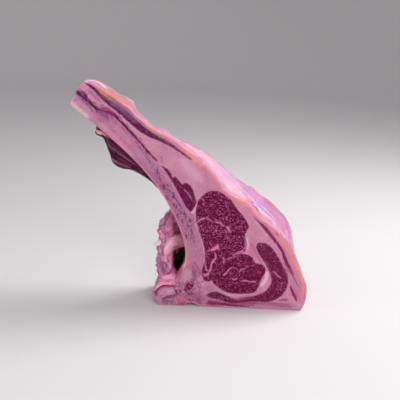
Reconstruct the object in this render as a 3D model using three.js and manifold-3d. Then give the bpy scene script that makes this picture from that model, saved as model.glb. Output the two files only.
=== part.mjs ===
// Raw bone-in rib steak: one very thick slice sawn through a beef rib and its chine.
// It stands on the sawn base of the chine end, and the long rib leans up to the left.
// Millimetres, +Z up. The front cut lies in a plane y = const, the back cut DEPTH behind it.
//
// Every section between the two cuts is the front outline moved by warp(), so the fat,
// the muscles and the bones all run through the slice from one cut to the other.

import * as THREE from 'three';
import Module from 'manifold-3d';

// ---- driving dimensions, mm -------------------------------------------------
const DEPTH = 80;            // thickness of the slice, front cut to back cut
const ORIGIN = [-11.5, 40];  // centre of the base in outline coordinates (x, y)
const GAP = 0.3;             // clearance between neighbouring pieces
const OVERRUN = 2;           // how far a cutter runs past the two cuts
const SOFT = 6;              // softening radius of the warp
const BASE_LIFT = 30;        // below this height the warp flattens out to the base
const RIM_STEP = 14;         // sampling of the outer outline
const FLAP_FRONT = 6;        // where the inner flap leaves the rib, behind the front cut
const FLAP_BACK = 75;        // where the inner flap stands furthest out
const BACK_FRONT = 7;        // nearest point of the fat lumps behind the rib

// ---- outlines on the front cut (x, z) ----------------------------------------
// Outer outline: x, z, shift of the back cut (dx, dz), edge rounding, crown between the cuts.
const RIM = [
  // rib tip
  [-195, 313, 3, -8, 2, 0], [-188, 323.8, 3, -8, 2, 0], [-181.3, 338.3, 3, -8, 2.5, 0], [-172.5, 345.4, 1, -8.5, 3, 0.5],
  // outer fat, down to the right
  [-157, 341, 0, -8.5, 3, 1], [-134, 325, 0, -6.5, 3.5, 1], [-114, 312, 0, -3, 4, 0.5],
  [-106.5, 307, -0.5, -2.5, 4, 0], [-102, 301.5, -4.5, -3, 4, 0], [-97, 296, -3, -8, 4, 0], [-77, 282, 0, -13.5, 4, 0],
  [-69, 277.5, 1, -9, 4, 0], [-61, 274, 1, -9, 4, 0], [-46, 266.5, 0, -13.5, 4, 0], [-24, 252, 0, -7.5, 4.5, 1],
  [-4, 237.5, 0, -2, 5, 2], [19, 213.5, 0, 8.5, 5, 2.5], [36, 190, 0, 17, 5, 2.5],
  [46, 182.5, 0, 16.5, 5, 2], [54, 179.5, 0, 11, 5, 1], [69, 172.5, 0, 10, 5, 1], [90, 149.5, 0, 20, 5, 2],
  [112, 133.5, 0, 21, 5.5, 2], [133, 116.5, 3, 16, 6, 1.5], [143.5, 104, 4.5, 8.5, 6, 0.5],
  [152, 85, -6.5, 4, 6, 0], [162.6, 60.5, -5, 3, 6, 0], [171, 38, -5, 0, 5, 0],
  [170.6, 18, -5, 0, 3.5, 0], [167, 5, -5, 0, 2, 0], [163, 0, -4, 0, 1.2, 0],
  // sawn base, with the small saw nick under the chine
  [150, 0, -3, 0, 0.8, 0], [80, 0, 0, 0, 0.8, 0], [6, 0, 0, 0, 0.8, 0], [2, 0, 0, 0, 0.8, 0],
  [-2, 4.2, 0, 0, 0.8, 0], [-14, 3.8, 0, 0, 0.8, 0], [-17.5, 0, 0, 0, 0.8, 0],
  [-22, 0, 0, 0, 0.8, 0], [-57, 0, 3, 0, 0.8, 0],
  // chine end and the inner side of the rib
  [-65.8, 9, 4, 0, 2, 0], [-68, 23.5, 5, 0, 2, 0], [-61, 37, 5, -1, 2, 0], [-44, 39.5, 2, -2, 2, 0],
  [-33, 43, 0, -2, 1.5, 0], [-22, 63, 1, -3, 1.5, 0], [-20, 92, 2, -4, 1.5, 0],
  [-31.8, 131, 2, -5, 1.5, 0], [-54.3, 174.4, 2, -6, 1.5, 0], [-78.7, 207.3, 2, -7, 1.5, 0],
  [-108, 238, 2, -8, 1.5, 0], [-154.6, 278.2, 3, -8, 1.5, 0], [-180.6, 298.6, 3, -8, 1.5, 0],
  [-191.2, 306.6, 3, -8, 2, 0],
];

// Closed muscle outlines.
const EYE = [
  [-4, 168], [3, 179], [13, 187], [24, 188], [34.5, 184], [44, 177.2], [56, 162], [69.6, 145.5], [75.3, 134],
  [71, 121], [74, 107], [72, 95.5], [58, 88], [45, 81], [34.5, 73.5], [27, 62], [24, 47], [20, 42.6],
  [11, 44], [7, 57], [11.2, 80], [8, 102], [0, 125.3], [-5, 145],
];
const DEEP = [
  [57.5, 90], [68, 90], [81, 86.6], [89.5, 75.5], [98.5, 74], [105, 65], [98.5, 47.5], [95.3, 36], [90, 27.6],
  [66, 23.8], [50, 25], [34, 33], [23, 44], [23.5, 60], [31.5, 73.5], [43, 82.5],
];
const RIB_MUSCLE = [
  [-59.1, 223.1], [-54.3, 221.4], [-49.8, 218.7], [-44.7, 212.5], [-42.6, 206], [-38.2, 207.4], [-33, 202.2],
  [-26.5, 196], [-24.2, 198.5], [-20.6, 198.8], [-12.3, 191], [-8.6, 179.9], [-5, 167.3], [-8.9, 160.2],
  [-13, 154.1], [-19.7, 159.8], [-37.7, 191.5], [-51.8, 214],
];
const CHINE_SPOT = [[-19, 25], [-16.5, 36], [-9, 41.5], [-4.5, 39], [-6.5, 31], [-13, 26]];

// Muscle bands: x, z, width along their middle line.
const CAP = [
  [91.5, 108.5, 3], [94, 104.5, 14], [101, 97.5, 21], [111.5, 84, 22.5], [120.3, 69.5, 22.5], [127, 54.5, 25.5],
  [128, 44, 25.5], [124.5, 34, 25], [116, 24.8, 22], [104.5, 19.3, 15.5], [91.6, 16.8, 9.5], [78.5, 14.6, 7.4],
  [64, 11.6, 6.4], [49, 13.8, 9.6], [34, 19.4, 12.6], [22.5, 19.8, 9.5], [17, 18.8, 3],
];
const FLANK_BAND = [
  [-171.5, 342, 1.5], [-161, 335.4, 4], [-149, 324.2, 6], [-137.5, 315, 7.6], [-123.4, 305.8, 9],
  [-110.4, 295.3, 10], [-100, 287.2, 11], [-88.5, 277.4, 9.6], [-76, 270, 8.6], [-55.4, 261, 7.2],
  [-38.5, 250.6, 3.6], [-16, 234.6, 1.4],
];
const RIM_STRIP = [
  [81, 152, 1.6], [90.6, 143.4, 4.4], [104, 127.6, 4.6], [118, 111, 4.2], [128.4, 97, 4], [134.4, 82.5, 5.6],
  [143.6, 66.4, 4.6], [152.6, 49.5, 3.4], [157, 39.5, 1.6],
];
const LOW_STRIP = [[144.6, 40.6, 1.6], [148.4, 31.5, 4], [153.4, 22.2, 4.2], [156.4, 14.6, 1.8]];
const BASE_STRIP = [[19, 8, 5], [32, 7.4, 5.2], [46, 5, 3.4], [66, 3.6, 2.4], [84, 3.2, 1.6]];
const RIB_STREAK = [
  [-187.5, 329.5, 5.5], [-174.5, 322.5, 7], [-162.5, 311.5, 4.6], [-150, 303, 3.6], [-136, 299.5, 5], [-125, 293, 4.4],
  [-112.5, 279.8, 2.8], [-101, 267.6, 2.6], [-92, 257.8, 2.4], [-80, 244.5, 2.2], [-66.5, 230.8, 1.2],
];

// Bones: the side that meets the meat; the other side runs out past the outer outline.
const RIB_INNER = [
  [-197, 334], ...RIB_STREAK.map(([x, z]) => [x, z]), [-58, 216.5], [-44, 196.5], [-33, 177.5], [-20, 157.5],
  [-9.5, 148.5], [-6, 135], [0, 121], [6.6, 102], [10, 84], [6.6, 66], [-1.7, 54],
];
const RIB_OUTER = [[-34, 57], [-36, 92], [-46, 128], [-92, 204], [-150, 262], [-206, 300], [-210, 330]];
const CHINE = [
  [-34, 56.2], [-14, 59], [-1.8, 53.2], [1.5, 41], [6, 25], [10.5, 12], [8, -6], [-80, -6], [-80, 52],
];

// Inner flap: where it leaves the rib (x, z) and how far it stands out at the back (x, z).
const FLAP = [
  [-156, 279.5, -164, 262], [-149, 274, -166, 254], [-141, 267, -155, 248.5], [-130, 258, -150.5, 239.5],
  [-118.5, 247, -144, 222], [-107.5, 237.5, -139.5, 208], [-97, 227.5, -127, 200.5], [-88, 218.5, -111.5, 198.5],
  [-76, 204.5, -93, 190.5], [-64, 189, -76, 182], [-57, 179, -62.5, 173.5],
];

// Head of the next rib, arching behind this one: x, z, y, radius along its middle line.
const HEAD = [
  [-12, 89, 58, 11], [-28, 91.5, 52, 12.2], [-42, 88, 47, 13], [-50.5, 77, 44.5, 11.6], [-51, 64, 44, 8.4], [-48, 53, 44, 5],
];
const HEAD_SIDES = 12;
const HEAD_DEEPER = 1.4;     // how much deeper than wide the head is
// Lumpy fat around that head: height, left edge x, front y, depth of the dark recess beside the rib (0 to 1).
const LUMPS = [
  [30, -62, 6, 0], [39, -65, 9, 0], [46, -65, 15, 0.2], [54, -63.5, 23, 0.95], [64, -65, 29, 1], [74, -66, 34, 1],
  [83, -63, 39, 1], [91, -61, 42, 1], [98, -62.5, 42, 0.7], [105, -64, 36, 0.45], [113, -60.5, 34, 0.4],
  [121, -56, 36, 0.25], [129, -53, 41, 0.05], [135, -48, 50, 0], [138, -43, 60, 0],
];
const NUB = [[-58, 86, 50, 4.6], [-65, 83.5, 50, 3.6], [-71.5, 81.5, 50, 1.4]]; // shred of fat at the left
const LUMP_CENTRE = [-40, 66];
const LUMP_SECTORS = 22;

// ---- curves -------------------------------------------------------------------
// Centripetal Catmull-Rom curve through rows of any length; x and z come first.
function spline(rows, closed, step) {
  const n = rows.length;
  const at = (i) => (closed ? rows[(i + n) % n] : rows[Math.min(n - 1, Math.max(0, i))]);
  const mirror = (a, b) => a.map((v, k) => 2 * v - b[k]);
  const out = [];
  const last = closed ? n : n - 1;
  for (let i = 0; i < last; i++) {
    const p1 = at(i), p2 = at(i + 1);
    const p0 = !closed && i === 0 ? mirror(p1, p2) : at(i - 1);
    const p3 = !closed && i === n - 2 ? mirror(p2, p1) : at(i + 2);
    const knot = (a, b) => Math.max(1e-3, Math.hypot(a[0] - b[0], a[1] - b[1]) ** 0.5);
    const t1 = knot(p0, p1), t2 = t1 + knot(p1, p2), t3 = t2 + knot(p2, p3);
    const count = Math.max(1, Math.ceil(Math.hypot(p2[0] - p1[0], p2[1] - p1[1]) / step));
    for (let j = 0; j < count; j++) {
      const t = t1 + ((t2 - t1) * j) / count;
      out.push(p1.map((_, k) => {
        const a1 = ((t1 - t) * p0[k] + t * p1[k]) / t1;
        const a2 = ((t2 - t) * p1[k] + (t - t1) * p2[k]) / (t2 - t1);
        const a3 = ((t3 - t) * p2[k] + (t - t2) * p3[k]) / (t3 - t2);
        const b1 = ((t2 - t) * a1 + t * a2) / t2;
        const b2 = ((t3 - t) * a2 + (t - t1) * a3) / (t3 - t1);
        return ((t2 - t) * b1 + (t - t1) * b2) / (t2 - t1);
      }));
    }
  }
  if (!closed) out.push([...rows[n - 1]]);
  return out;
}

// Outline of a band: its middle line with half the width on either side.
function band(rows, step) {
  const mid = spline(rows, false, step);
  const left = [], right = [];
  mid.forEach(([x, z, w], i) => {
    const a = mid[Math.max(0, i - 1)], b = mid[Math.min(mid.length - 1, i + 1)];
    const l = Math.hypot(b[0] - a[0], b[1] - a[1]);
    const nx = -(b[1] - a[1]) / l, nz = (b[0] - a[0]) / l;
    left.push([x + (nx * w) / 2, z + (nz * w) / 2]);
    right.unshift([x - (nx * w) / 2, z - (nz * w) / 2]);
  });
  return [...left, ...right];
}

const area = (pts) => pts.reduce((s, p, i) => {
  const q = pts[(i + 1) % pts.length];
  return s + (p[0] * q[1] - q[0] * p[1]) / 2;
}, 0);
const counterClockwise = (pts) => (area(pts) < 0 ? [...pts].reverse() : pts);

// Moves an outline outward by a distance, or by one distance for each point.
function offset(pts, by) {
  const n = pts.length;
  return pts.map((p, i) => {
    const a = pts[(i + n - 1) % n], b = pts[(i + 1) % n];
    const l = Math.hypot(b[0] - a[0], b[1] - a[1]) || 1;
    const d = typeof by === 'number' ? by : by[i];
    return [p[0] + ((b[1] - a[1]) / l) * d, p[1] - ((b[0] - a[0]) / l) * d, ...p.slice(2)];
  });
}

// ---- the warp from the front cut (s = 0) to the back cut (s = 1) ----------------
function warp([x, z], s) {
  let sum = 0, dx = 0, dz = 0;
  for (const [cx, cz, ex, ez] of RIM) {
    const w = 1 / ((x - cx) ** 2 + (z - cz) ** 2 + SOFT * SOFT) ** 2;
    sum += w; dx += w * ex; dz += w * ez;
  }
  const k = Math.min(1, Math.max(0, z / BASE_LIFT));
  return [x + (s * dx) / sum, z + (s * dz * k * k * (3 - 2 * k)) / sum];
}

// ---- solids ---------------------------------------------------------------------
const wasm = await Module();
wasm.setup();

// Closed solid through rings of equal length; each ring is a list of [x, y, z]. The ends are
// triangulated in the plane that flat() gives, or as plain fans where they are convex.
function loft(rings, flat) {
  const n = rings[0].length;
  const pos = rings.flat(2);
  const index = [];
  for (let r = 0; r + 1 < rings.length; r++) {
    for (let i = 0; i < n; i++) {
      const a = r * n + i, b = r * n + ((i + 1) % n);
      index.push(a, b, b + n, a, b + n, a + n);
    }
  }
  const cap = (ring, base, flip) => {
    if (!flat) {
      for (let i = 1; i + 1 < n; i++) index.push(...(flip ? [base, base + i + 1, base + i] : [base, base + i, base + i + 1]));
      return;
    }
    const tris = THREE.ShapeUtils.triangulateShape(ring.map((p) => new THREE.Vector2(...flat(p))), []);
    for (const [a, b, c] of tris) index.push(...(flip ? [base + a, base + c, base + b] : [base + a, base + b, base + c]));
  };
  cap(rings[0], 0, true);
  cap(rings[rings.length - 1], (rings.length - 1) * n, false);
  return solid(pos, index);
}

function volume(pos, index) {
  let v = 0;
  for (let i = 0; i < index.length; i += 3) {
    const [a, b, c] = [0, 1, 2].map((k) => new THREE.Vector3().fromArray(pos, index[i + k] * 3));
    v += a.dot(b.cross(c)) / 6;
  }
  return v;
}

function solid(pos, index) {
  const tri = volume(pos, index) < 0 ? index.map((_, i) => index[i - (i % 3) + (2 - (i % 3))]) : index;
  return new wasm.Manifold(new wasm.Mesh({
    numProp: 3, vertProperties: new Float32Array(pos), triVerts: new Uint32Array(tri),
  }));
}

const xz = (p) => [p[0], p[2]];

// A piece that runs through the slice: its outline carried by the warp past both cuts.
function through(outline) {
  const pts = counterClockwise(outline);
  const ends = [-OVERRUN / DEPTH, 1 + OVERRUN / DEPTH];
  return loft(ends.map((s) => pts.map((p) => {
    const [x, z] = warp(p, s);
    return [x, s * DEPTH, z];
  })), xz);
}

// The whole slice: the outer outline with rounded cut edges and a slight crown between the cuts.
function slice(grow) {
  const pts = counterClockwise(spline(RIM, true, RIM_STEP));
  const stations = [[0, 1], [0.25, 0.34], [1, 0]];
  const rings = [];
  const ring = (y, inset) => {
    const s = y / DEPTH;
    const moved = pts.map((p) => [...warp(p, s), ...p.slice(2)]);
    const crown = Math.sin(Math.PI * s);
    const by = moved.map((p) => grow - inset * p[4] + crown * p[5]);
    rings.push(offset(moved, by).map(([x, z]) => [x, y + (s < 0.5 ? -grow : grow) * (inset === 1 ? 1 : 0), Math.max(-grow, z)]));
  };
  const round = 4;
  stations.forEach(([k, inset]) => ring(k * round, inset));
  ring(DEPTH / 2, 0);
  [...stations].reverse().forEach(([k, inset]) => ring(DEPTH - k * round, inset));
  return loft(rings, xz);
}

// Tube along a middle line that lies mostly in the x-z plane: rows of x, z, y, radius.
function tube(rows, grow) {
  const mid = spline(rows, false, 9);
  return loft(mid.map(([x, z, y, r], i) => {
    const a = mid[Math.max(0, i - 1)], b = mid[Math.min(mid.length - 1, i + 1)];
    const l = Math.hypot(b[0] - a[0], b[1] - a[1]);
    const nx = -(b[1] - a[1]) / l, nz = (b[0] - a[0]) / l;
    return Array.from({ length: HEAD_SIDES }, (_, k) => {
      const f = (2 * Math.PI * k) / HEAD_SIDES;
      const c = Math.cos(f) * (r + grow), d = Math.sin(f) * (r * HEAD_DEEPER + grow);
      return [x + nx * c, y + d, z + nz * c];
    });
  }), null);
}

function block(x0, x1, y0, y1, z0, z1) {
  return loft([y0, y1].map((y) => [[x0, y, z0], [x1, y, z0], [x1, y, z1], [x0, y, z1]]), xz);
}

const join = (list) => list.reduce((a, b) => a.add(b));

const body = slice(0);
const bodyCutter = slice(GAP);

// Muscles, in the order in which they cut one another.
const muscles = {
  eye_muscle: spline(EYE, true, 8),
  deep_muscle: spline(DEEP, true, 8),
  cap_muscle: band(CAP, 10),
  rib_muscle: spline(RIB_MUSCLE, true, 8),
  flank_muscle_band: band(FLANK_BAND, 12),
  rim_muscle_strip: band(RIM_STRIP, 12),
  low_muscle_strip: band(LOW_STRIP, 8),
  base_muscle_strip: band(BASE_STRIP, 9),
  rib_muscle_streak: band(RIB_STREAK, 11),
  chine_muscle: spline(CHINE_SPOT, true, 5),
};
const bones = {
  rib_bone: [...spline(RIB_INNER, false, 7), ...RIB_OUTER],
  chine_bone: CHINE,
};

const pieces = {};
const cutters = [];
const cutBy = (piece, others) => (others.length ? piece.subtract(join(others)) : piece);
for (const [name, outline] of Object.entries(muscles)) {
  const pts = counterClockwise(outline);
  pieces[name] = cutBy(through(pts).intersect(body), cutters);
  cutters.push(through(offset(pts, GAP)));
}
for (const [name, outline] of Object.entries(bones)) {
  const pts = counterClockwise(outline);
  pieces[name] = cutBy(through(pts).intersect(body), cutters);
  cutters.push(through(offset(pts, GAP)));
}
pieces.fat_body = cutBy(body, cutters);

// Inner flap: a wedge between the rib's inner side and the line where it stands furthest out.
pieces.rib_flap = loft(spline(FLAP, false, 16).map(([ax, az, cx, cz]) => {
  const [bx, bz] = warp([ax, az], 1);
  const l = Math.hypot(cx - bx, cz - bz) || 1;
  const ux = (cx - bx) / l, uz = (cz - bz) / l;
  const mix = (k, lift) => [ax + (cx - ax) * k + ux * lift, az + (cz - az) * k + uz * lift];
  const m1 = mix(0.3, 1.5), m2 = mix(0.7, 2);
  return [
    [ax + ux * 0.8, FLAP_FRONT, az + uz * 0.8], [m1[0], FLAP_FRONT + 22, m1[1]], [m2[0], FLAP_FRONT + 47, m2[1]],
    [cx, FLAP_BACK, cz], [cx - ux * 2, DEPTH, cz - uz * 2],
    [bx - ux * 8, DEPTH, bz - uz * 8], [ax - ux * 8, FLAP_FRONT, az - uz * 8],
  ];
}), null).subtract(bodyCutter);

// Head of the next rib, and the lumpy fat around it with the dark recess beside the rib.
{
  const room = block(-90, 0, BACK_FRONT, DEPTH, 0, 170).subtract(bodyCutter);
  pieces.rib_head = tube(HEAD, 0).intersect(room);
  const [mx, my] = LUMP_CENTRE;
  const rings = LUMPS.map(([z, left, front, recess]) => Array.from({ length: LUMP_SECTORS }, (_, k) => {
    const f = (2 * Math.PI * k) / LUMP_SECTORS;
    const c = Math.cos(f), d = Math.sin(f);
    const inRecess = d < 0 ? recess * Math.min(1, Math.max(0, (c + 0.04) / 0.16)) : 0;
    const wave = 1 + 0.05 * Math.sin(3 * f + z / 9) + 0.04 * Math.sin(5 * f - z / 6);
    const rx = c < 0 ? mx - left : 40;
    const ry = d < 0 ? (my - front) * (1 - 0.9 * inRecess) : 20;
    return [mx + c * rx * wave, my + d * ry * wave, z];
  }));
  pieces.chine_fat = loft(rings, (p) => [p[0], p[1]]).add(tube(NUB, 0)).intersect(room).subtract(tube(HEAD, GAP));
}

// ---- scene graph ------------------------------------------------------------------
const COLOURS = {
  lean: [0x5f1a3a, 0.4], fat: [0xd79fb4, 0.45], bone: [0xc79aa6, 0.55], flap: [0x6e3a4a, 0.45],
};
const KIND = {
  fat_body: 'fat', chine_fat: 'fat', rib_bone: 'bone', chine_bone: 'bone', rib_head: 'bone', rib_flap: 'flap',
};

const steak = new THREE.Group();
steak.position.set(-ORIGIN[0], -ORIGIN[1], 0);
for (const [name, piece] of Object.entries(pieces)) {
  const mesh = piece.getMesh();
  const count = mesh.vertProperties.length / mesh.numProp;
  const pos = new Float32Array(count * 3);
  for (let i = 0; i < count; i++) for (let k = 0; k < 3; k++) pos[i * 3 + k] = mesh.vertProperties[i * mesh.numProp + k];
  const g = new THREE.BufferGeometry();
  g.setAttribute('position', new THREE.BufferAttribute(pos, 3));
  g.setIndex([...mesh.triVerts]);
  const [color, roughness] = COLOURS[KIND[name] ?? 'lean'];
  const node = new THREE.Mesh(g, new THREE.MeshStandardMaterial({ color, roughness, metalness: 0 }));
  node.name = name;
  steak.add(node);
}

export default steak;
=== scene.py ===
# Raw bone-in rib steak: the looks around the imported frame. Every table is in millimetres in outline
# coordinates (x, z on the front cut, y = depth behind it); put() turns them into metres in the frame.
import math

import bpy
import numpy as np
from mathutils import Matrix, Vector
from mathutils.geometry import delaunay_2d_cdt


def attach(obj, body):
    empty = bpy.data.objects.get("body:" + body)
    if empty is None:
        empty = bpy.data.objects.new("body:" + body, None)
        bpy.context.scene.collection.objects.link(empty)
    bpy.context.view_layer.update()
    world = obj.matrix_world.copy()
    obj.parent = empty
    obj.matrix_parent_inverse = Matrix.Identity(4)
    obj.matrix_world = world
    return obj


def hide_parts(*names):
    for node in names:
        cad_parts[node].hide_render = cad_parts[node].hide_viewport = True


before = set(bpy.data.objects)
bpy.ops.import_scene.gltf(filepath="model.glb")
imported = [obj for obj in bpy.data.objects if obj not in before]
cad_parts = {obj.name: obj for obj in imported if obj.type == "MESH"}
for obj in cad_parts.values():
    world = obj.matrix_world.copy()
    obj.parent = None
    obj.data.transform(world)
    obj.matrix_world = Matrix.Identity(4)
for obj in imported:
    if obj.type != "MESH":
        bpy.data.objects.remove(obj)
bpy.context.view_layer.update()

DEPTH = 80.0
ORIGIN = (-11.5, 40.0)
SOFT = 6.0
BASE_LIFT = 30.0
STEP = 1.5            # vertex spacing on the cuts
FLAP_FRONT, FLAP_BACK = 6.0, 75.0
rng = np.random.default_rng(7)
LUMP_CENTRE = (-40.0, 66.0)
RIB_MID = [(-190, 319), (-165, 299), (-140, 279), (-112, 253), (-84, 222), (-60, 191), (-42, 163), (-28, 138), (-15, 112), (-8, 88), (-10, 66)]
RIM = [
  # rib tip
  [-195, 313, 3, -8, 2, 0], [-188, 323.8, 3, -8, 2, 0], [-181.3, 338.3, 3, -8, 2.5, 0], [-172.5, 345.4, 1, -8.5, 3, 0.5],
  # outer fat, down to the right
  [-157, 341, 0, -8.5, 3, 1], [-134, 325, 0, -6.5, 3.5, 1], [-114, 312, 0, -3, 4, 0.5],
  [-106.5, 307, -0.5, -2.5, 4, 0], [-102, 301.5, -4.5, -3, 4, 0], [-97, 296, -3, -8, 4, 0], [-77, 282, 0, -13.5, 4, 0],
  [-69, 277.5, 1, -9, 4, 0], [-61, 274, 1, -9, 4, 0], [-46, 266.5, 0, -13.5, 4, 0], [-24, 252, 0, -7.5, 4.5, 1],
  [-4, 237.5, 0, -2, 5, 2], [19, 213.5, 0, 8.5, 5, 2.5], [36, 190, 0, 17, 5, 2.5],
  [46, 182.5, 0, 16.5, 5, 2], [54, 179.5, 0, 11, 5, 1], [69, 172.5, 0, 10, 5, 1], [90, 149.5, 0, 20, 5, 2],
  [112, 133.5, 0, 21, 5.5, 2], [133, 116.5, 3, 16, 6, 1.5], [143.5, 104, 4.5, 8.5, 6, 0.5],
  [152, 85, -6.5, 4, 6, 0], [162.6, 60.5, -5, 3, 6, 0], [171, 38, -5, 0, 5, 0],
  [170.6, 18, -5, 0, 3.5, 0], [167, 5, -5, 0, 2, 0], [163, 0, -4, 0, 1.2, 0],
  # sawn base, with the small saw nick under the chine
  [150, 0, -3, 0, 0.8, 0], [80, 0, 0, 0, 0.8, 0], [6, 0, 0, 0, 0.8, 0], [2, 0, 0, 0, 0.8, 0],
  [-2, 4.2, 0, 0, 0.8, 0], [-14, 3.8, 0, 0, 0.8, 0], [-17.5, 0, 0, 0, 0.8, 0],
  [-22, 0, 0, 0, 0.8, 0], [-57, 0, 3, 0, 0.8, 0],
  # chine end and the inner side of the rib
  [-65.8, 9, 4, 0, 2, 0], [-68, 23.5, 5, 0, 2, 0], [-61, 37, 5, -1, 2, 0], [-44, 39.5, 2, -2, 2, 0],
  [-33, 43, 0, -2, 1.5, 0], [-22, 63, 1, -3, 1.5, 0], [-20, 92, 2, -4, 1.5, 0],
  [-31.8, 131, 2, -5, 1.5, 0], [-54.3, 174.4, 2, -6, 1.5, 0], [-78.7, 207.3, 2, -7, 1.5, 0],
  [-108, 238, 2, -8, 1.5, 0], [-154.6, 278.2, 3, -8, 1.5, 0], [-180.6, 298.6, 3, -8, 1.5, 0],
  [-191.2, 306.6, 3, -8, 2, 0],
]
EYE = [
  [-4, 168], [3, 179], [13, 187], [24, 188], [34.5, 184], [44, 177.2], [56, 162], [69.6, 145.5], [75.3, 134],
  [71, 121], [74, 107], [72, 95.5], [58, 88], [45, 81], [34.5, 73.5], [27, 62], [24, 47], [20, 42.6],
  [11, 44], [7, 57], [11.2, 80], [8, 102], [0, 125.3], [-5, 145],
]
DEEP = [
  [57.5, 90], [68, 90], [81, 86.6], [89.5, 75.5], [98.5, 74], [105, 65], [98.5, 47.5], [95.3, 36], [90, 27.6],
  [66, 23.8], [50, 25], [34, 33], [23, 44], [23.5, 60], [31.5, 73.5], [43, 82.5],
]
RIB_MUSCLE = [
  [-59.1, 223.1], [-54.3, 221.4], [-49.8, 218.7], [-44.7, 212.5], [-42.6, 206], [-38.2, 207.4], [-33, 202.2],
  [-26.5, 196], [-24.2, 198.5], [-20.6, 198.8], [-12.3, 191], [-8.6, 179.9], [-5, 167.3], [-8.9, 160.2],
  [-13, 154.1], [-19.7, 159.8], [-37.7, 191.5], [-51.8, 214],
]
CHINE_SPOT = [[-19, 25], [-16.5, 36], [-9, 41.5], [-4.5, 39], [-6.5, 31], [-13, 26]]
CAP = [
  [91.5, 108.5, 3], [94, 104.5, 14], [101, 97.5, 21], [111.5, 84, 22.5], [120.3, 69.5, 22.5], [127, 54.5, 25.5],
  [128, 44, 25.5], [124.5, 34, 25], [116, 24.8, 22], [104.5, 19.3, 15.5], [91.6, 16.8, 9.5], [78.5, 14.6, 7.4],
  [64, 11.6, 6.4], [49, 13.8, 9.6], [34, 19.4, 12.6], [22.5, 19.8, 9.5], [17, 18.8, 3],
]
FLANK_BAND = [
  [-171.5, 342, 1.5], [-161, 335.4, 4], [-149, 324.2, 6], [-137.5, 315, 7.6], [-123.4, 305.8, 9],
  [-110.4, 295.3, 10], [-100, 287.2, 11], [-88.5, 277.4, 9.6], [-76, 270, 8.6], [-55.4, 261, 7.2],
  [-38.5, 250.6, 3.6], [-16, 234.6, 1.4],
]
RIM_STRIP = [
  [81, 152, 1.6], [90.6, 143.4, 4.4], [104, 127.6, 4.6], [118, 111, 4.2], [128.4, 97, 4], [134.4, 82.5, 5.6],
  [143.6, 66.4, 4.6], [152.6, 49.5, 3.4], [157, 39.5, 1.6],
]
LOW_STRIP = [[144.6, 40.6, 1.6], [148.4, 31.5, 4], [153.4, 22.2, 4.2], [156.4, 14.6, 1.8]]
BASE_STRIP = [[19, 8, 5], [32, 7.4, 5.2], [46, 5, 3.4], [66, 3.6, 2.4], [84, 3.2, 1.6]]
RIB_STREAK = [
  [-187.5, 329.5, 5.5], [-174.5, 322.5, 7], [-162.5, 311.5, 4.6], [-150, 303, 3.6], [-136, 299.5, 5], [-125, 293, 4.4],
  [-112.5, 279.8, 2.8], [-101, 267.6, 2.6], [-92, 257.8, 2.4], [-80, 244.5, 2.2], [-66.5, 230.8, 1.2],
]
RIB_INNER = [
  [-197, 334], *[row[:2] for row in RIB_STREAK], [-58, 216.5], [-44, 196.5], [-33, 177.5], [-20, 157.5],
  [-9.5, 148.5], [-6, 135], [0, 121], [6.6, 102], [10, 84], [6.6, 66], [-1.7, 54],
]
RIB_OUTER = [[-34, 57], [-36, 92], [-46, 128], [-92, 204], [-150, 262], [-206, 300], [-210, 330]]
CHINE = [
  [-34, 56.2], [-14, 59], [-1.8, 53.2], [1.5, 41], [6, 25], [10.5, 12], [8, -6], [-80, -6], [-80, 52],
]
FLAP = [
  [-156, 279.5, -164, 262], [-149, 274, -166, 254], [-141, 267, -155, 248.5], [-130, 258, -150.5, 239.5],
  [-118.5, 247, -144, 222], [-107.5, 237.5, -139.5, 208], [-97, 227.5, -127, 200.5], [-88, 218.5, -111.5, 198.5],
  [-76, 204.5, -93, 190.5], [-64, 189, -76, 182], [-57, 179, -62.5, 173.5],
]
HEAD = [
  [-12, 89, 58, 11], [-28, 91.5, 52, 12.2], [-42, 88, 47, 13], [-50.5, 77, 44.5, 11.6], [-51, 64, 44, 8.4], [-48, 53, 44, 5],
]
LUMPS = [
  [30, -62, 6, 0], [39, -65, 9, 0], [46, -65, 15, 0.2], [54, -63.5, 23, 0.95], [64, -65, 29, 1], [74, -66, 34, 1],
  [83, -63, 39, 1], [91, -61, 42, 1], [98, -62.5, 42, 0.7], [105, -64, 36, 0.45], [113, -60.5, 34, 0.4],
  [121, -56, 36, 0.25], [129, -53, 41, 0.05], [135, -48, 50, 0], [138, -43, 60, 0],
]
NUB = [[-58, 86, 50, 4.6], [-65, 83.5, 50, 3.6], [-71.5, 81.5, 50, 1.4]]
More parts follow.
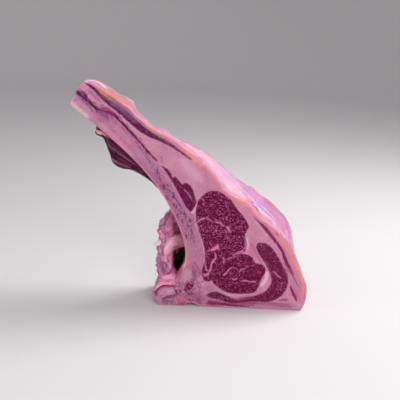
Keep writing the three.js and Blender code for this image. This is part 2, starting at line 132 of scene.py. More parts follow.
COLOURS = {
    "peach": (238, 160, 138),
    "orange": (240, 146, 120),
    "salmon": (232, 128, 132),
    "cream": (246, 206, 206),
    "lavender": (205, 165, 205),
    "lilac": (226, 166, 236),
    # White: painted highlights on the outer fat and the rib tip.
    "grey_lav": (196, 150, 182),
    "white": (255, 226, 240),
    "milk": (250, 205, 228),
    "pink": (222, 120, 165),
    "hot_pink": (236, 120, 165),
    "rose": (196, 96, 128),
    "crimson": (150, 42, 84),
    "wine": (112, 24, 62),
    "plum": (84, 22, 60),
    "ink": (56, 22, 50),
    "violet": (104, 84, 132),
    "purple": (134, 74, 122),
    "mauve": (160, 86, 134),
    # Near black: painted shade in the deep hole beside the rib and in the gouge on the outer fat.
    "black": (20, 10, 18),
    # Brown: painted shade in the shallow recess between the lumps and the rib.
    "brown": (120, 70, 80),
    "beige": (196, 140, 146),
    "bone": (198, 142, 170),
    "fat": (204, 138, 168),
    "tan": (188, 138, 130),
    "pale_vein": (196, 112, 150),
    "vein": (178, 84, 122),
    "bone_dark": (116, 58, 96),
    "red": (176, 50, 92),
    "orange2": (244, 152, 112),
    # Whitish pink: pale streaks, and painted highlights along the ridges of the outer fat.
    "milk2": (244, 196, 214),
    "lilac2": (204, 148, 208),
    "grey_pink": (202, 152, 176),
    "plum3": (104, 40, 74),
    "wine2": (96, 24, 74),
    "crim2": (142, 38, 92),
    "orange3": (206, 127, 98),
    "tan_pink": (166, 100, 112),
    "rose_dark": (130, 42, 80),
    "sal_rose": (200, 98, 126),
    "fat_lite": (226, 164, 188),
    "band_grey": (146, 104, 138),
    "bone_lite": (216, 148, 174),
    "bone_rim": (190, 128, 172),
    "hot_rose": (196, 90, 136),
    "light_mauve": (160, 90, 120),
    "dusk": (74, 22, 50),
    "sal2": (248, 166, 160),
    "tan_shade": (176, 112, 128),
    "rim_beige": (216, 172, 164),
    "fold": (255, 140, 188),
    "rose_lite": (206, 116, 144),
    "glint": (255, 214, 232),
    "thread": (214, 128, 166),
    # Light pink: painted highlights on the lobes and the chine ridge, and painted light that lifts the shade on shaded
    # walls.
    "bright": (255, 176, 214),
    # Hot pink, painted lighter as painted light that lifts the shade on the side wall of the hole.
    "shade_pink": (240, 140, 180),
}
# Painted details, among them painted highlights and painted shade: colour, cover, width, softness, lift, filled, weight
# of y in distances, and a line of points (x, y, z).
PAINT = [
    ("grey_lav", 0.55, 4.5, 3.8, 0, False, 1, [(-66.7, 0, 271.1), (-53.3, 0, 264.2), (-38.4, 0, 257.3)]),
    ("lavender", 0.2, 10.5, 9, 0, False, 1, [(-31.8, 0, 233.4), (-16.5, 0, 218.8), (-7.1, 0, 203.8)]),
    ("fat", 0.3, 3, 3, 0, False, 1, [(-1.6, 0, 176.2), (-9.6, 0, 188.9), (-25.1, 0, 206.2)]),
    ("lavender", 0.45, 6, 4.5, 0, False, 1, [(71.9, 0, 119), (75.7, 0, 106.3), (74.7, 0, 95)]),
    ("milk2", 0.16, 10.5, 9, 0, False, 1, [(-188.1, 0, 312.1), (-177.9, 0, 305.2), (-167.8, 0, 296.8), (-156.1, 0, 285.4)]),
    ("lavender", 0.4, 6, 6, 0, False, 1, [(-182.2, 0, 316.7), (-173.6, 0, 309.7), (-166.3, 0, 302.7)]),
    ("lavender", 0.18, 9, 7.5, 0, False, 1, [(-97.2, 0, 249), (-82.1, 0, 231.4), (-69.9, 0, 213.6)]),
    ("rose", 0.45, 6, 4.5, 0, False, 1, [(-120.8, 0, 261.5), (-113.4, 0, 252.8), (-106, 0, 245.6)]),
    ("mauve", 0.25, 10.5, 7.5, 0, False, 1, [(-66.8, 0, 207.6), (-51.4, 0, 186.6), (-37.2, 0, 162.2), (-27.4, 0, 137.4)]),
    ("bone_lite", 0.6, 7.5, 6, 0, False, 1, [(-151.7, 0, 284.1), (-138.5, 0, 272.8), (-126.7, 0, 261.9), (-111.9, 0, 246.9), (-102.9, 0, 238.2)]),
    ("bone_lite", 0.4, 7.5, 6, 0, False, 1, [(-129.8, 0, 280.5), (-118, 0, 269.1), (-106.1, 0, 256.1)]),
    ("pink", 0.3, 4.5, 4.5, 0, False, 1, [(-167.7, 0, 333.2), (-159, 0, 326.3), (-150.3, 0, 317.9), (-138.7, 0, 308.2)]),
    ("mauve", 0.55, 6, 4.5, 0, False, 1, [(-167.7, 0, 331.7), (-159, 0, 324.8), (-150.3, 0, 316.5)]),
    ("crim2", 0.4, 4.5, 3, 0, False, 1, [(-148.8, 0, 301.9), (-144.5, 0, 296.8), (-140.1, 0, 292)]),
    ("plum", 0.4, 3, 2.4, 0, False, 1, [(-69.6, 0, 270.1), (-62.2, 0, 266.8), (-54.8, 0, 263.5)]),
    ("fat_lite", 0.5, 13.5, 10.5, 0, False, 1, [(-28.8, 0, 232), (-13.6, 0, 218.9), (0.3, 0, 204.1)]),
    ("peach", 0.5, 6, 5.1, 0, False, 1, [(-21.9, 0, 245.9), (-12.8, 0, 239.3), (-5.1, 0, 231.4)]),
    ("sal_rose", 0.4, 6, 4.5, 0, False, 1, [(141.5, 0, 79.8), (151.9, 0, 63.8), (159.4, 0, 44.3), (163.7, 0, 27.8)]),
    ("rose", 0.35, 7.5, 6, 0, False, 1, [(74.3, 0, 103), (79.3, 0, 95.2), (85.9, 0, 87.3)]),
    ("rose", 0.25, 7.5, 6, 0, False, 1, [(133, 0, 69.6), (143.3, 0, 53.6), (149.1, 0, 37.2)]),
    ("wine", 0.3, 4.5, 4.5, 0, False, 1, [(65, 0, 15.3), (77.5, 0, 15.2), (89.8, 0, 18)]),
    ("mauve", 0.4, 13.5, 9, 0, False, 1, [(0.9, 0, 21.1), (16.9, 0, 11.7), (40.5, 0, 5.9)]),
    ("mauve", 0.35, 9, 7.5, 0, False, 1, [(9.9, 0, 31.5), (23.9, 0, 30.4)]),
    ("lavender", 0.35, 7.5, 6, 0, False, 1, [(9.6, 0, 38.1), (11.7, 0, 24.9)]),
    ("rose", 0.3, 13.5, 10.5, 0, False, 1, [(94.9, 0, 142.3), (104.9, 0, 126.8), (111.8, 0, 114.2)]),
    ("mauve", 0.22, 7.5, 6, 0, False, 1, [(136.1, 0, 69.8), (144.6, 0, 56.9), (150.3, 0, 42.3), (154.4, 0, 27.4)]),
    ("pink", 0.45, 6, 4.5, 0, False, 1, [(161.4, 0, 17.7), (165, 0, 31.2), (164.1, 0, 44.5)]),
    ("bone_dark", 0.45, 9, 7.5, 0, False, 1, [(-11.4, 0, 63.7), (-1.9, 0, 57.5), (5.9, 0, 54.5)]),
    ("rose", 0.45, 4.5, 3.8, 0, False, 1, [(-17.1, 0, 99.3), (-15.1, 0, 83.2), (-11.5, 0, 67), (-8.1, 0, 57.3)]),
    ("beige", 0.4, 3, 2.7, 0, False, 1, [(-28.8, 0, 130.9), (-22.1, 0, 112), (-18.4, 0, 92.8), (-17.3, 0, 79.8)]),
    ("beige", 0.45, 9, 7.5, 0, False, 1, [(-22.1, 0, 112), (-16, 0, 92.9), (-14.6, 0, 70.1)]),
    ("beige", 0.3, 2.4, 2.4, 0, False, 1, [(-75.6, 0, 202.6), (-60.3, 0, 186.3), (-47.8, 0, 164.9), (-36.8, 0, 146.5)]),
    ("pink", 0.4, 3, 3, 0, False, 1, [(-138.5, 0, 268.3), (-126.7, 0, 256.8), (-114.8, 0, 246), (-99.9, 0, 232.2), (-84.8, 0, 216.1)]),
    ("cream", 0.6, 6, 6, 0, False, 1, [(-192.4, 0, 313.4), (-188.1, 0, 307.7), (-179.4, 0, 300.7), (-167.8, 0, 290.9)]),
    ("cream", 0.35, 4.5, 4.5, 0, False, 1, [(-190.9, 0, 317.8), (-186.5, 0, 325.2), (-182.1, 0, 334.1)]),
    ("orange3", 0.74, 11.2, 16.5, 0, False, 0.34, [(-148.9, 0.1, 332.4), (-141.8, 1.2, 329.4), (-133.7, 5.8, 324.4), (-125.6, 12, 319.4), (-117.7, 21.4, 314.1), (-109.8, 32.2, 308.6)]),
    ("orange3", 0.62, 9, 13.5, 0, False, 0.34, [(-143.7, 27.5, 330.9), (-136.4, 40.9, 324.5), (-128.5, 52, 318.4), (-119.4, 51.5, 314.3), (-111.1, 61, 308)]),
    ("tan_pink", 0.5, 9, 7.5, 0, False, 0.34, [(-104.6, 41.3, 301.3), (-97.3, 45.6, 290.8), (-86.3, 43.4, 281.8)]),
    ("orange3", 0.7, 7.5, 6, 0, False, 1, [(-146, 0, 331.7), (-133, 0, 327.3), (-118.5, 0, 320.6), (-106.8, 0, 313.8)]),
    ("tan_pink", 0.8, 6, 3.9, 0, False, 1, [(-138.8, 0, 324.2), (-132.1, 0, 320.4), (-125.7, 0, 315.9), (-118.4, 0, 311), (-111, 0, 305.7), (-103.7, 0, 300.1), (-96.3, 0, 293.7), (-88.9, 0, 288), (-80.1, 0, 281), (-68.2, 0, 274.6)]),
    ("mauve", 0.35, 2.1, 1.8, 0, False, 1, [(-130, 0, 315.8), (-121.3, 0, 309.7), (-112.5, 0, 303.9), (-102.2, 0, 296.4)]),
    ("peach", 0.5, 6, 4.5, 0, False, 1, [(-83.1, 0, 285.3), (-72.7, 0, 278.3), (-62.3, 0, 271.3)]),
    ("salmon", 0.45, 4.5, 4.5, 0, False, 1, [(-62.3, 0, 271.3), (-50.4, 0, 267.3), (-38.5, 0, 261.8)]),
    ("peach", 0.6, 6, 6, 0, False, 1, [(-29.5, 0, 253.1), (-17.4, 0, 246.1), (-6.7, 0, 234.4), (4, 0, 225.7)]),
    ("salmon", 0.4, 6, 5.2, 0, False, 1, [(-20.4, 0, 246.7), (-6.8, 0, 235.9), (2.5, 0, 226.4)]),
    ("orange", 0.45, 4.5, 4.5, 0, False, 1, [(5.5, 0, 225.8), (11.7, 0, 218.4), (19.5, 0, 208.7), (25.9, 0, 199)]),
    ("salmon", 0.5, 4.5, 4.5, 0, False, 1, [(25.9, 0, 199), (33, 0, 190.7), (41.6, 0, 182.6)]),
    ("salmon", 0.6, 4.5, 3.8, 0, False, 1, [(41.7, 0, 181), (52.3, 0, 177.5)]),
    ("orange", 0.85, 7.5, 6, 0, False, 1, [(53.9, 0, 176.8), (64.5, 0, 173.3), (72.4, 0, 166.6)]),
    ("salmon", 0.7, 4.5, 4.5, 0, False, 1, [(72.4, 0, 166.6), (81.3, 0, 156), (93, 0, 148.5), (105.1, 0, 138.7), (115.4, 0, 128), (122.8, 0, 120.3)]),
    ("orange", 0.7, 4.8, 4.5, 0, False, 1, [(122, 0, 121.1), (130.3, 0, 109.4), (138.8, 0, 97.6), (145.3, 0, 85.2), (150.7, 0, 75.9)]),
    ("orange", 0.65, 4.8, 4.5, 0, False, 1, [(150.7, 0, 75.9), (157, 0, 65.2), (161.9, 0, 52.7), (165.2, 0, 41.2), (166.8, 0, 27.9)]),
    ("band_grey", 0.4, 3.9, 2.7, 0, False, 1, [(-132.9, 0, 314.2), (-125.6, 0, 309.2), (-116.8, 0, 302.3), (-106.5, 0, 293.8), (-96.2, 0, 286.3)]),
    ("rose", 0.35, 3.6, 3, 0, False, 1, [(-74.1, 0, 275.3), (-62.2, 0, 268.3), (-50.3, 0, 262.8)]),
    ("violet", 0.35, 1.8, 1.5, 0, False, 1, [(-134.4, 0, 317.1), (-125.6, 0, 309.4), (-116.8, 0, 303.1)]),
    ("violet", 0.35, 2.4, 1.8, 0, False, 1, [(-121.3, 0, 311.7), (-111, 0, 301.9), (-102.2, 0, 293.4)]),
    ("violet", 0.25, 1.8, 1.5, 0, False, 1, [(-109.5, 0, 297.6), (-99.2, 0, 289.1), (-90.3, 0, 280.6)]),
    ("ink", 0.5, 1.8, 1.5, 0, False, 1, [(-170.5, 0, 340.9), (-160.5, 0, 333.5), (-147.4, 0, 321.7), (-135.8, 0, 312.6)]),
    ("wine", 0.7, 3.3, 2.4, 0, False, 1, [(-105, 0, 285.9), (-94.6, 0, 278.9), (-84.3, 0, 272.7), (-75.4, 0, 269.3)]),
    ("wine", 0.6, 2.2, 2.1, 0, False, 1, [(-75.5, 0, 270.8), (-65.1, 0, 265.2), (-53.2, 0, 260.4), (-42.7, 0, 254.1)]),
    ("rose", 0.3, 3, 2.7, 0, False, 1, [(-56.2, 0, 261.1), (-45.7, 0, 256.1), (-33.8, 0, 249)]),
    ("crimson", 0.55, 1.5, 1.8, 0, False, 1, [(-47.2, 0, 256.9), (-35.2, 0, 248.4), (-23.2, 0, 241.3), (-14.9, 0, 234.8)]),
    ("crim2", 0.75, 1.5, 1.4, 0, False, 1, [(-38.2, 0, 250.7), (-26.2, 0, 243), (-14.9, 0, 235)]),
    ("grey_lav", 0.6, 2.7, 2.4, 0, False, 1, [(-74.1, 0, 275.3), (-65.2, 0, 270.4), (-56.3, 0, 265.6)]),
    ("wine2", 0.8, 3.9, 2.2, -0.2, False, 1, [(-185.6, 0, 330.8), (-180.1, 0, 327.5), (-173.5, 0, 322.2), (-167.7, 0, 316.7), (-161.1, 0, 310.2)]),
    ("crim2", 0.6, 4.8, 3, -0.2, False, 1, [(-153.2, 0, 306.1), (-144.5, 0, 305.6), (-135.7, 0, 302.4), (-125.5, 0, 294)]),
    ("wine2", 0.85, 3.9, 2.2, -0.2, False, 1, [(-129, 0, 296.2), (-124.9, 0, 292.5), (-116.2, 0, 284), (-104.8, 0, 272.8), (-97.4, 0, 265.1)]),
    ("wine2", 0.8, 2.8, 2, -0.2, False, 1, [(-98.9, 0, 266.6), (-89.5, 0, 256.5), (-79.8, 0, 245.1), (-73.3, 0, 237.8), (-66.7, 0, 231.1)]),
    ("plum", 0.7, 2.4, 2, -0.2, False, 1, [(-161.9, 0, 311.6), (-157, 0, 305.4), (-153.2, 0, 299.4)]),
    ("purple", 0.6, 6, 3.9, 0, False, 1, [(-150.3, 0, 303.3), (-144.5, 0, 297.7), (-138.6, 0, 290.5)]),
    ("mauve", 0.4, 4.5, 3.6, 0, False, 1, [(-159, 0, 313.2), (-153.2, 0, 309.1)]),
    ("wine2", 0.9, 3.9, 1.8, -0.4, False, 1, [(-184.3, 0, 329.2), (-174.9, 0, 322), (-166.3, 0, 314.4), (-160.5, 0, 308)]),
    ("plum", 0.9, 2.4, 1.5, -0.3, False, 1, [(-160.5, 0, 308.8), (-156.8, 0, 303.8), (-153.8, 0, 299.7)]),
    ("wine2", 0.9, 2.1, 1.4, -0.3, False, 1, [(-159.8, 0, 309.1), (-153.2, 0, 305.3), (-147.4, 0, 302.5)]),
    ("wine2", 0.75, 3.6, 1.8, 0, False, 1, [(-177.8, 0, 329.9), (-172, 0, 325.1), (-169.2, 0, 320.8)]),
    ("violet", 0.55, 1.8, 1.5, 0, False, 1, [(-176.4, 0, 324.9), (-170.6, 0, 318.6)]),
    ("crim2", 0.8, 2, 1.4, -0.3, False, 1, [(-147.4, 0, 306.6), (-141.6, 0, 306.9), (-136.5, 0, 304.1), (-130.6, 0, 299.7), (-125.2, 0, 294.6)]),
    ("crim2", 0.8, 1.8, 1.2, -0.3, False, 1, [(-145.9, 0, 304.9), (-140.8, 0, 303.1), (-135.7, 0, 299.5), (-130.6, 0, 296), (-125.5, 0, 294)]),
    ("mauve", 0.6, 4.5, 2.4, 0, False, 1, [(-145.9, 0, 301.3), (-143, 0, 296.3), (-140.1, 0, 292)]),
    ("wine2", 0.85, 2.7, 1.5, -0.4, False, 1, [(-125.8, 0, 292.2), (-120.6, 0, 288), (-115.2, 0, 282.6)]),
    ("wine2", 0.8, 2.1, 1.5, -0.3, False, 1, [(-115.2, 0, 282.6), (-108.4, 0, 274.8), (-101.8, 0, 267.7)]),
    ("crim2", 0.8, 1.7, 1.4, -0.3, False, 1, [(-101.8, 0, 267.7), (-95.9, 0, 262.5), (-89.9, 0, 256.5), (-83, 0, 248.3)]),
    ("plum", 0.85, 2.1, 1.4, -0.3, False, 1, [(-86, 0, 251.8), (-80.9, 0, 245.1), (-76.1, 0, 240.4)]),
    ("crim2", 0.75, 1.5, 1.2, -0.2, False, 1, [(-76.1, 0, 240.4), (-71.1, 0, 235.5), (-66, 0, 231.1)]),
    ("purple", 0.45, 2.4, 2.1, 0, False, 1, [(-95.7, 0, 252.6), (-86.9, 0, 243.9), (-77.8, 0, 231.3), (-72.3, 0, 224.2)]),
    ("plum", 0.55, 1.2, 1.2, 0, False, 1, [(-92.8, 0, 251.4), (-88.3, 0, 246.3)]),
    ("plum", 0.55, 1.2, 1.2, 0, False, 1, [(-80.7, 0, 235.3), (-75.2, 0, 227.9)]),
    ("wine2", 0.6, 1, 1, 0, False, 1, [(-59.1, 0, 236.9), (-59.2, 0, 227.8)]),
    ("wine2", 0.6, 1, 1, 0, False, 1, [(-63.4, 0, 224.6), (-64.8, 0, 218.4)]),
    ("thread", 0.45, 0.9, 0.9, 0.1, False, 1, [(-179.3, 0, 329), (-174.4, 0, 323.7)]),
    ("thread", 0.45, 0.9, 0.9, 0.1, False, 1, [(-167.7, 0, 318.1), (-167.2, 0, 313.8)]),
    ("thread", 0.45, 0.9, 0.9, 0.1, False, 1, [(-153.8, 0, 306.7), (-148.3, 0, 305.1)]),
    ("thread", 0.45, 0.9, 0.9, 0.1, False, 1, [(-143.6, 0, 304.2), (-139.8, 0, 303.1)]),
    ("thread", 0.45, 0.9, 0.9, 0.1, False, 1, [(-123.1, 0, 291.7), (-119, 0, 287.5)]),
    ("thread", 0.45, 0.9, 0.9, 0.1, False, 1, [(-108.4, 0, 277.8), (-105.4, 0, 275)]),
    ("thread", 0.45, 0.9, 0.9, 0.1, False, 1, [(-95, 0, 262.8), (-92.3, 0, 260.9)]),
    ("thread", 0.45, 0.9, 0.9, 0.1, False, 1, [(-84.5, 0, 251), (-83, 0, 248.3)]),
    ("thread", 0.45, 0.9, 0.9, 0.1, False, 1, [(-74, 0, 240.2), (-72.2, 0, 238)]),
    ("wine2", 0.7, 1.4, 1.2, -0.2, False, 1, [(-181.3, 0, 333.5), (-176.9, 0, 330.5)]),
    ("wine2", 0.7, 1.4, 1.2, -0.2, False, 1, [(-172.9, 0, 329.2), (-168.3, 0, 324.5)]),
    ("wine2", 0.7, 1.4, 1.2, -0.2, False, 1, [(-185.1, 0, 326.2), (-180.7, 0, 322)]),
    ("wine2", 0.7, 1.4, 1.2, -0.2, False, 1, [(-177.3, 0, 318.9), (-172.7, 0, 314.4)]),
    ("wine2", 0.7, 1.4, 1.2, -0.2, False, 1, [(-170.1, 0, 312.2), (-165.4, 0, 307.1)]),
    ("wine2", 0.7, 1.4, 1.2, -0.2, False, 1, [(-164, 0, 304.8), (-161.1, 0, 300)]),
    ("wine2", 0.7, 1.4, 1.2, -0.2, False, 1, [(-151.2, 0, 300.3), (-148, 0, 295.5)]),
    ("wine2", 0.7, 1.4, 1.2, -0.2, False, 1, [(-141, 0, 297.2), (-138, 0, 292)]),
    ("wine2", 0.7, 1.4, 1.2, -0.2, False, 1, [(-134.8, 0, 296), (-131.9, 0, 290.8)]),
    ("wine2", 0.7, 1.4, 1.2, -0.2, False, 1, [(-132.3, 0, 308.7), (-128.8, 0, 305.6)]),
    ("wine2", 0.7, 1.4, 1.2, -0.2, False, 1, [(-149.4, 0, 310.1), (-145.1, 0, 310.8)]),
    ("wine2", 0.7, 1.4, 1.2, -0.2, False, 1, [(-122, 0, 296.2), (-119.1, 0, 292.2)]),
    ("wine2", 0.7, 1.4, 1.2, -0.2, False, 1, [(-111.4, 0, 284.5), (-108.7, 0, 280.5)]),
    ("wine2", 0.7, 1.4, 1.2, -0.2, False, 1, [(-103.9, 0, 267.3), (-101.2, 0, 263.8)]),
    ("wine2", 0.7, 1.4, 1.2, -0.2, False, 1, [(-91.5, 0, 264.8), (-89.4, 0, 261.3)]),
    ("wine2", 0.7, 1.4, 1.2, -0.2, False, 1, [(-82.9, 0, 244.1), (-80.8, 0, 240.6)]),
    ("wine2", 0.7, 1.4, 1.2, -0.2, False, 1, [(-127.5, 0, 287.4), (-124.8, 0, 283.7)]),
    ("wine2", 0.7, 1.4, 1.2, -0.2, False, 1, [(-118.4, 0, 279.5), (-115.7, 0, 275.7)]),
    ("wine2", 0.7, 1.4, 1.2, -0.2, False, 1, [(-161.3, 0, 315.2), (-156.7, 0, 311.8)]),
    ("wine2", 0.7, 1.4, 1.2, -0.2, False, 1, [(-97.9, 0, 260), (-95.2, 0, 256)]),
    ("mauve", 0.45, 4.5, 3.6, 0, False, 1, [(-154.7, 0, 300.2), (-145.9, 0, 293.2), (-137.1, 0, 286.2)]),
    ("purple", 0.3, 5.1, 4.5, 0, False, 1, [(-182.2, 0, 321), (-173.5, 0, 313.2), (-164.8, 0, 304.2)]),
    ("plum", 0.95, 2, 1.2, -0.6, False, 1, [(-56.8, 0, 193.4), (-54.4, 0, 188)]),
    ("plum", 0.95, 2, 1.2, -0.6, False, 1, [(-40.8, 0, 183.6), (-39.8, 0, 179.9)]),
    ("plum", 0.95, 2, 1.2, -0.6, False, 1, [(-39.9, 0, 177.1), (-37.9, 0, 174.1)]),
    ("plum", 0.95, 2, 1.2, -0.6, False, 1, [(-39.4, 0, 166.2), (-38.5, 0, 163.1)]),
    ("plum", 0.95, 2, 1.2, -0.6, False, 1, [(-31.9, 0, 167.1), (-29.7, 0, 163.1)]),
    ("plum", 0.95, 2, 1.2, -0.6, False, 1, [(-23.4, 0, 154.9), (-21.2, 0, 149.3)]),
    ("plum", 0.95, 2, 1.2, -0.6, False, 1, [(-18.3, 0, 135.2), (-16.6, 0, 130.8)]),
    ("plum", 0.95, 2, 1.2, -0.6, False, 1, [(-26, 0, 141.2), (-24.7, 0, 135.9)]),
    ("plum", 0.95, 2, 1.2, -0.6, False, 1, [(-50.5, 0, 177.3), (-48, 0, 171.8)]),
    ("plum", 0.95, 2, 1.2, -0.6, False, 1, [(-45.6, 0, 196.1), (-43.4, 0, 191.6)]),
    ("plum", 0.95, 2, 1.2, -0.6, False, 1, [(-14.6, 0, 142.6), (-12.3, 0, 137)]),
    ("plum", 0.95, 2, 1.2, -0.6, False, 1, [(-33.9, 0, 149.8), (-32.2, 0, 144.1)]),
    ("plum", 0.95, 2, 1.2, -0.6, False, 1, [(-11.1, 0, 125.3), (-9.9, 0, 118.9)]),
    ("plum", 0.95, 2, 1.2, -0.6, False, 1, [(-19.2, 0, 117), (-18.1, 0, 110.6)]),
    ("purple", 0.5, 3.3, 2.7, 0, False, 1, [(-71.5, 0, 219.7), (-63.8, 0, 207.7), (-54.5, 0, 192.7)]),
    ("violet", 0.3, 2.4, 2.4, 0, False, 1, [(-28.3, 0, 167.3), (-20.4, 0, 153.5), (-13.9, 0, 139.5)]),
    ("purple", 0.4, 3.6, 3, 0, False, 1, [(-42.5, 0, 190.1), (-34.6, 0, 174.8), (-25, 0, 156.4)]),
    ("bone_dark", 0.35, 3.3, 3, 0, False, 1, [(-13.6, 0, 131.6), (-8.5, 0, 115.8), (-4.9, 0, 99.8)]),
    ("milk", 0.35, 2.1, 1.8, 0, False, 1, [(-5.3, 0, 135.1), (0.4, 0, 121.7), (6.5, 0, 105.1), (9.9, 0, 87.5)]),
    ("purple", 0.45, 3.9, 3, 0, False, 1, [(-5.6, 0, 73.8), (0.9, 0, 64.2), (7.5, 0, 54.6)]),
    ("crimson", 0.45, 1.4, 1.5, 0, False, 1, [(8.3, 0, 74.4), (6.5, 0, 62.8), (3.9, 0, 51.2)]),
    ("wine2", 0.9, 1.4, 1.2, -0.5, False, 1, [(-41.1, 0, 183), (-39.8, 0, 180.5)]),
    ("wine2", 0.9, 1.4, 1.2, -0.5, False, 1, [(-41.8, 0, 177.4), (-40.6, 0, 174.6)]),
    ("wine2", 0.9, 1.4, 1.2, -0.5, False, 1, [(-36.6, 0, 173.2), (-33.2, 0, 169.6)]),
    ("wine2", 0.9, 1.4, 1.2, -0.5, False, 1, [(-31.6, 0, 165.6), (-28.2, 0, 161.6)]),
    ("wine2", 0.9, 1.4, 1.2, -0.5, False, 1, [(-55.2, 0, 195.4), (-52.6, 0, 186.9)]),
    ("wine2", 0.9, 1.4, 1.2, -0.5, False, 1, [(-65.5, 0, 216.2), (-63.3, 0, 210.5)]),
    ("wine2", 0.9, 1.4, 1.2, -0.5, False, 1, [(-61.1, 0, 205.1), (-60.1, 0, 202)]),
    ("wine2", 0.9, 1.4, 1.2, -0.5, False, 1, [(-49.2, 0, 195.7), (-47.9, 0, 192.9)]),
    ("wine2", 0.9, 1.4, 1.2, -0.5, False, 1, [(-56.9, 0, 190.7), (-55.3, 0, 188.6)]),
    ("wine2", 0.9, 1.4, 1.2, -0.5, False, 1, [(-27.5, 0, 160.4), (-26.6, 0, 158.2)]),
    ("wine2", 0.9, 1.4, 1.2, -0.5, False, 1, [(-46, 0, 185.9), (-45, 0, 183.8)]),
    ("wine2", 0.9, 1.4, 1.2, -0.5, False, 1, [(-35.7, 0, 162.3), (-34.7, 0, 159.2)]),
    ("wine2", 0.9, 1.4, 1.2, -0.5, False, 1, [(-20.8, 0, 146.5), (-19.8, 0, 144)]),
    ("wine2", 0.9, 1.4, 1.2, -0.5, False, 1, [(-24.2, 0, 151.1), (-23, 0, 148.6)]),
    ("wine2", 0.9, 1.4, 1.2, -0.5, False, 1, [(-16, 0, 140), (-14.7, 0, 137.2)]),
    ("wine2", 0.9, 1.4, 1.2, -0.5, False, 1, [(-28.5, 0, 153.4), (-27.8, 0, 150.6)]),
    ("bone_rim", 0.5, 1.2, 1.2, 0.2, False, 1, [(-43.1, 0, 180.1), (-42.5, 0, 177.6)]),
    ("bone_rim", 0.5, 1.2, 1.2, 0.2, False, 1, [(-38.1, 0, 171), (-37.1, 0, 168.8)]),
    ("bone_rim", 0.5, 1.2, 1.2, 0.2, False, 1, [(-33.7, 0, 166.4), (-32.5, 0, 164)]),
    ("bone_rim", 0.5, 1.2, 1.2, 0.2, False, 1, [(-56.4, 0, 197.9), (-55.5, 0, 195.7)]),
    ("bone_rim", 0.5, 1.2, 1.2, 0.2, False, 1, [(-59.7, 0, 209.4), (-58.7, 0, 207)]),
    ("bone_rim", 0.5, 1.2, 1.2, 0.2, False, 1, [(-25, 0, 157.1), (-24.1, 0, 154.9)]),
    ("bone_rim", 0.5, 1.2, 1.2, 0.2, False, 1, [(-18.5, 0, 142.8), (-17.8, 0, 140.3)]),
    ("bone_rim", 0.5, 1.2, 1.2, 0.2, False, 1, [(-21.9, 0, 152.5), (-20.9, 0, 150.6)]),
    ("bone_rim", 0.6, 3.3, 2.7, 0, False, 1, [(-73.3, 0, 234), (-64.1, 0, 223), (-55.2, 0, 210.5), (-47.8, 0, 199.1), (-40.9, 0, 187.6), (-32.4, 0, 172.7), (-24.2, 0, 158.7), (-17.3, 0, 152)]),
    ("bone_lite", 0.45, 4.5, 3.6, 0, False, 1, [(-90.8, 0, 221), (-75.6, 0, 203.3), (-60.3, 0, 183.2), (-47.8, 0, 163.4), (-38.3, 0, 146.4), (-30.2, 0, 129.3)]),
    ("hot_rose", 0.42, 3.3, 3, 0, False, 1, [(-75.9, 0, 214.9), (-63.6, 0, 200), (-54.4, 0, 186.5), (-46.5, 0, 172), (-39.2, 0, 157.4), (-33.6, 0, 141.9), (-28.7, 0, 127.8)]),
    ("pale_vein", 0.9, 1.7, 1.2, 0.3, False, 1, [(-24, 0, 188), (-19.1, 0, 183.9), (-14.4, 0, 177.2)]),
    ("pale_vein", 0.6, 1.4, 1.2, 0, False, 1, [(-14.4, 0, 177.2), (-12, 0, 172.6)]),
    ("wine", 0.5, 2.1, 1.8, 0, False, 1, [(-49.1, 0, 216), (-39.8, 0, 202.5), (-29, 0, 187.5), (-19.4, 0, 170.8)]),
    ("vein", 0.5, 1.2, 1.2, 0, False, 1, [(-33.7, 0, 196.6), (-29.1, 0, 191.5)]),
    ("milk", 0.5, 1.8, 1.8, 0, False, 1, [(-5.4, 0, 165.1), (-7.8, 0, 157.1), (-11.9, 0, 151.6)]),
    ("fat", 0.95, 2.5, 1.2, 0.2, False, 1, [(-2.6, 0, 137.4), (0, 0, 140.7), (4.1, 0, 144), (9.5, 0, 145.2)]),
    ("pale_vein", 0.9, 1.7, 1.2, 0, False, 1, [(9.5, 0, 145.2), (13.1, 0, 144.7), (16.9, 0, 141.7), (20.6, 0, 138.8)]),
    ("pale_vein", 0.9, 2.2, 1.2, 0.2, False, 1, [(25.5, 0, 138.9), (30.6, 0, 138.7), (35.6, 0, 135.5)]),
    ("pale_vein", 0.75, 1.5, 1, 0, False, 1, [(29.9, 0, 141.9), (33, 0, 139.8)]),
    ("pink", 0.85, 3.3, 1.5, 0.2, False, 1, [(40.9, 0, 133.1), (44.7, 0, 130.1), (46.7, 0, 125.4)]),
    ("pale_vein", 0.7, 1.7, 1.2, 0, False, 1, [(38.7, 0, 127.9), (42.2, 0, 123.9)]),
    ("pale_vein", 0.6, 1.5, 1.2, 0, False, 1, [(47.7, 0, 135.3), (46.4, 0, 130.8)]),
    ("pink", 0.95, 5.1, 2.1, 0.2, False, 1, [(20.6, 0, 94.4), (25.1, 0, 97.2), (30.2, 0, 100.6)]),
    ("pale_vein", 0.85, 2.4, 1.5, 0, False, 1, [(13.7, 0, 91.8), (19.7, 0, 95.3)]),
    ("pink", 0.8, 2.7, 1.5, 0, False, 1, [(29.4, 0, 103.5), (31, 0, 95.8)]),
    ("fat", 0.95, 2, 1.2, 0.2, False, 1, [(25.4, 0, 90.4), (27.4, 0, 86.2), (27.9, 0, 81.7)]),
    ("fat", 0.95, 3.6, 1.5, 0.2, False, 1, [(27.3, 0, 81.7), (24.1, 0, 76.6), (21.5, 0, 72.6)]),
    ("fat", 0.95, 2.2, 1.2, 0.2, False, 1, [(21.5, 0, 72.6), (20.9, 0, 66.7), (19.3, 0, 59.7), (15.1, 0, 55.6), (10, 0, 54)]),
    ("fat", 0.9, 1.8, 1, 0, False, 1, [(12.1, 0, 69.9), (12.9, 0, 64.7), (15, 0, 59.9)]),
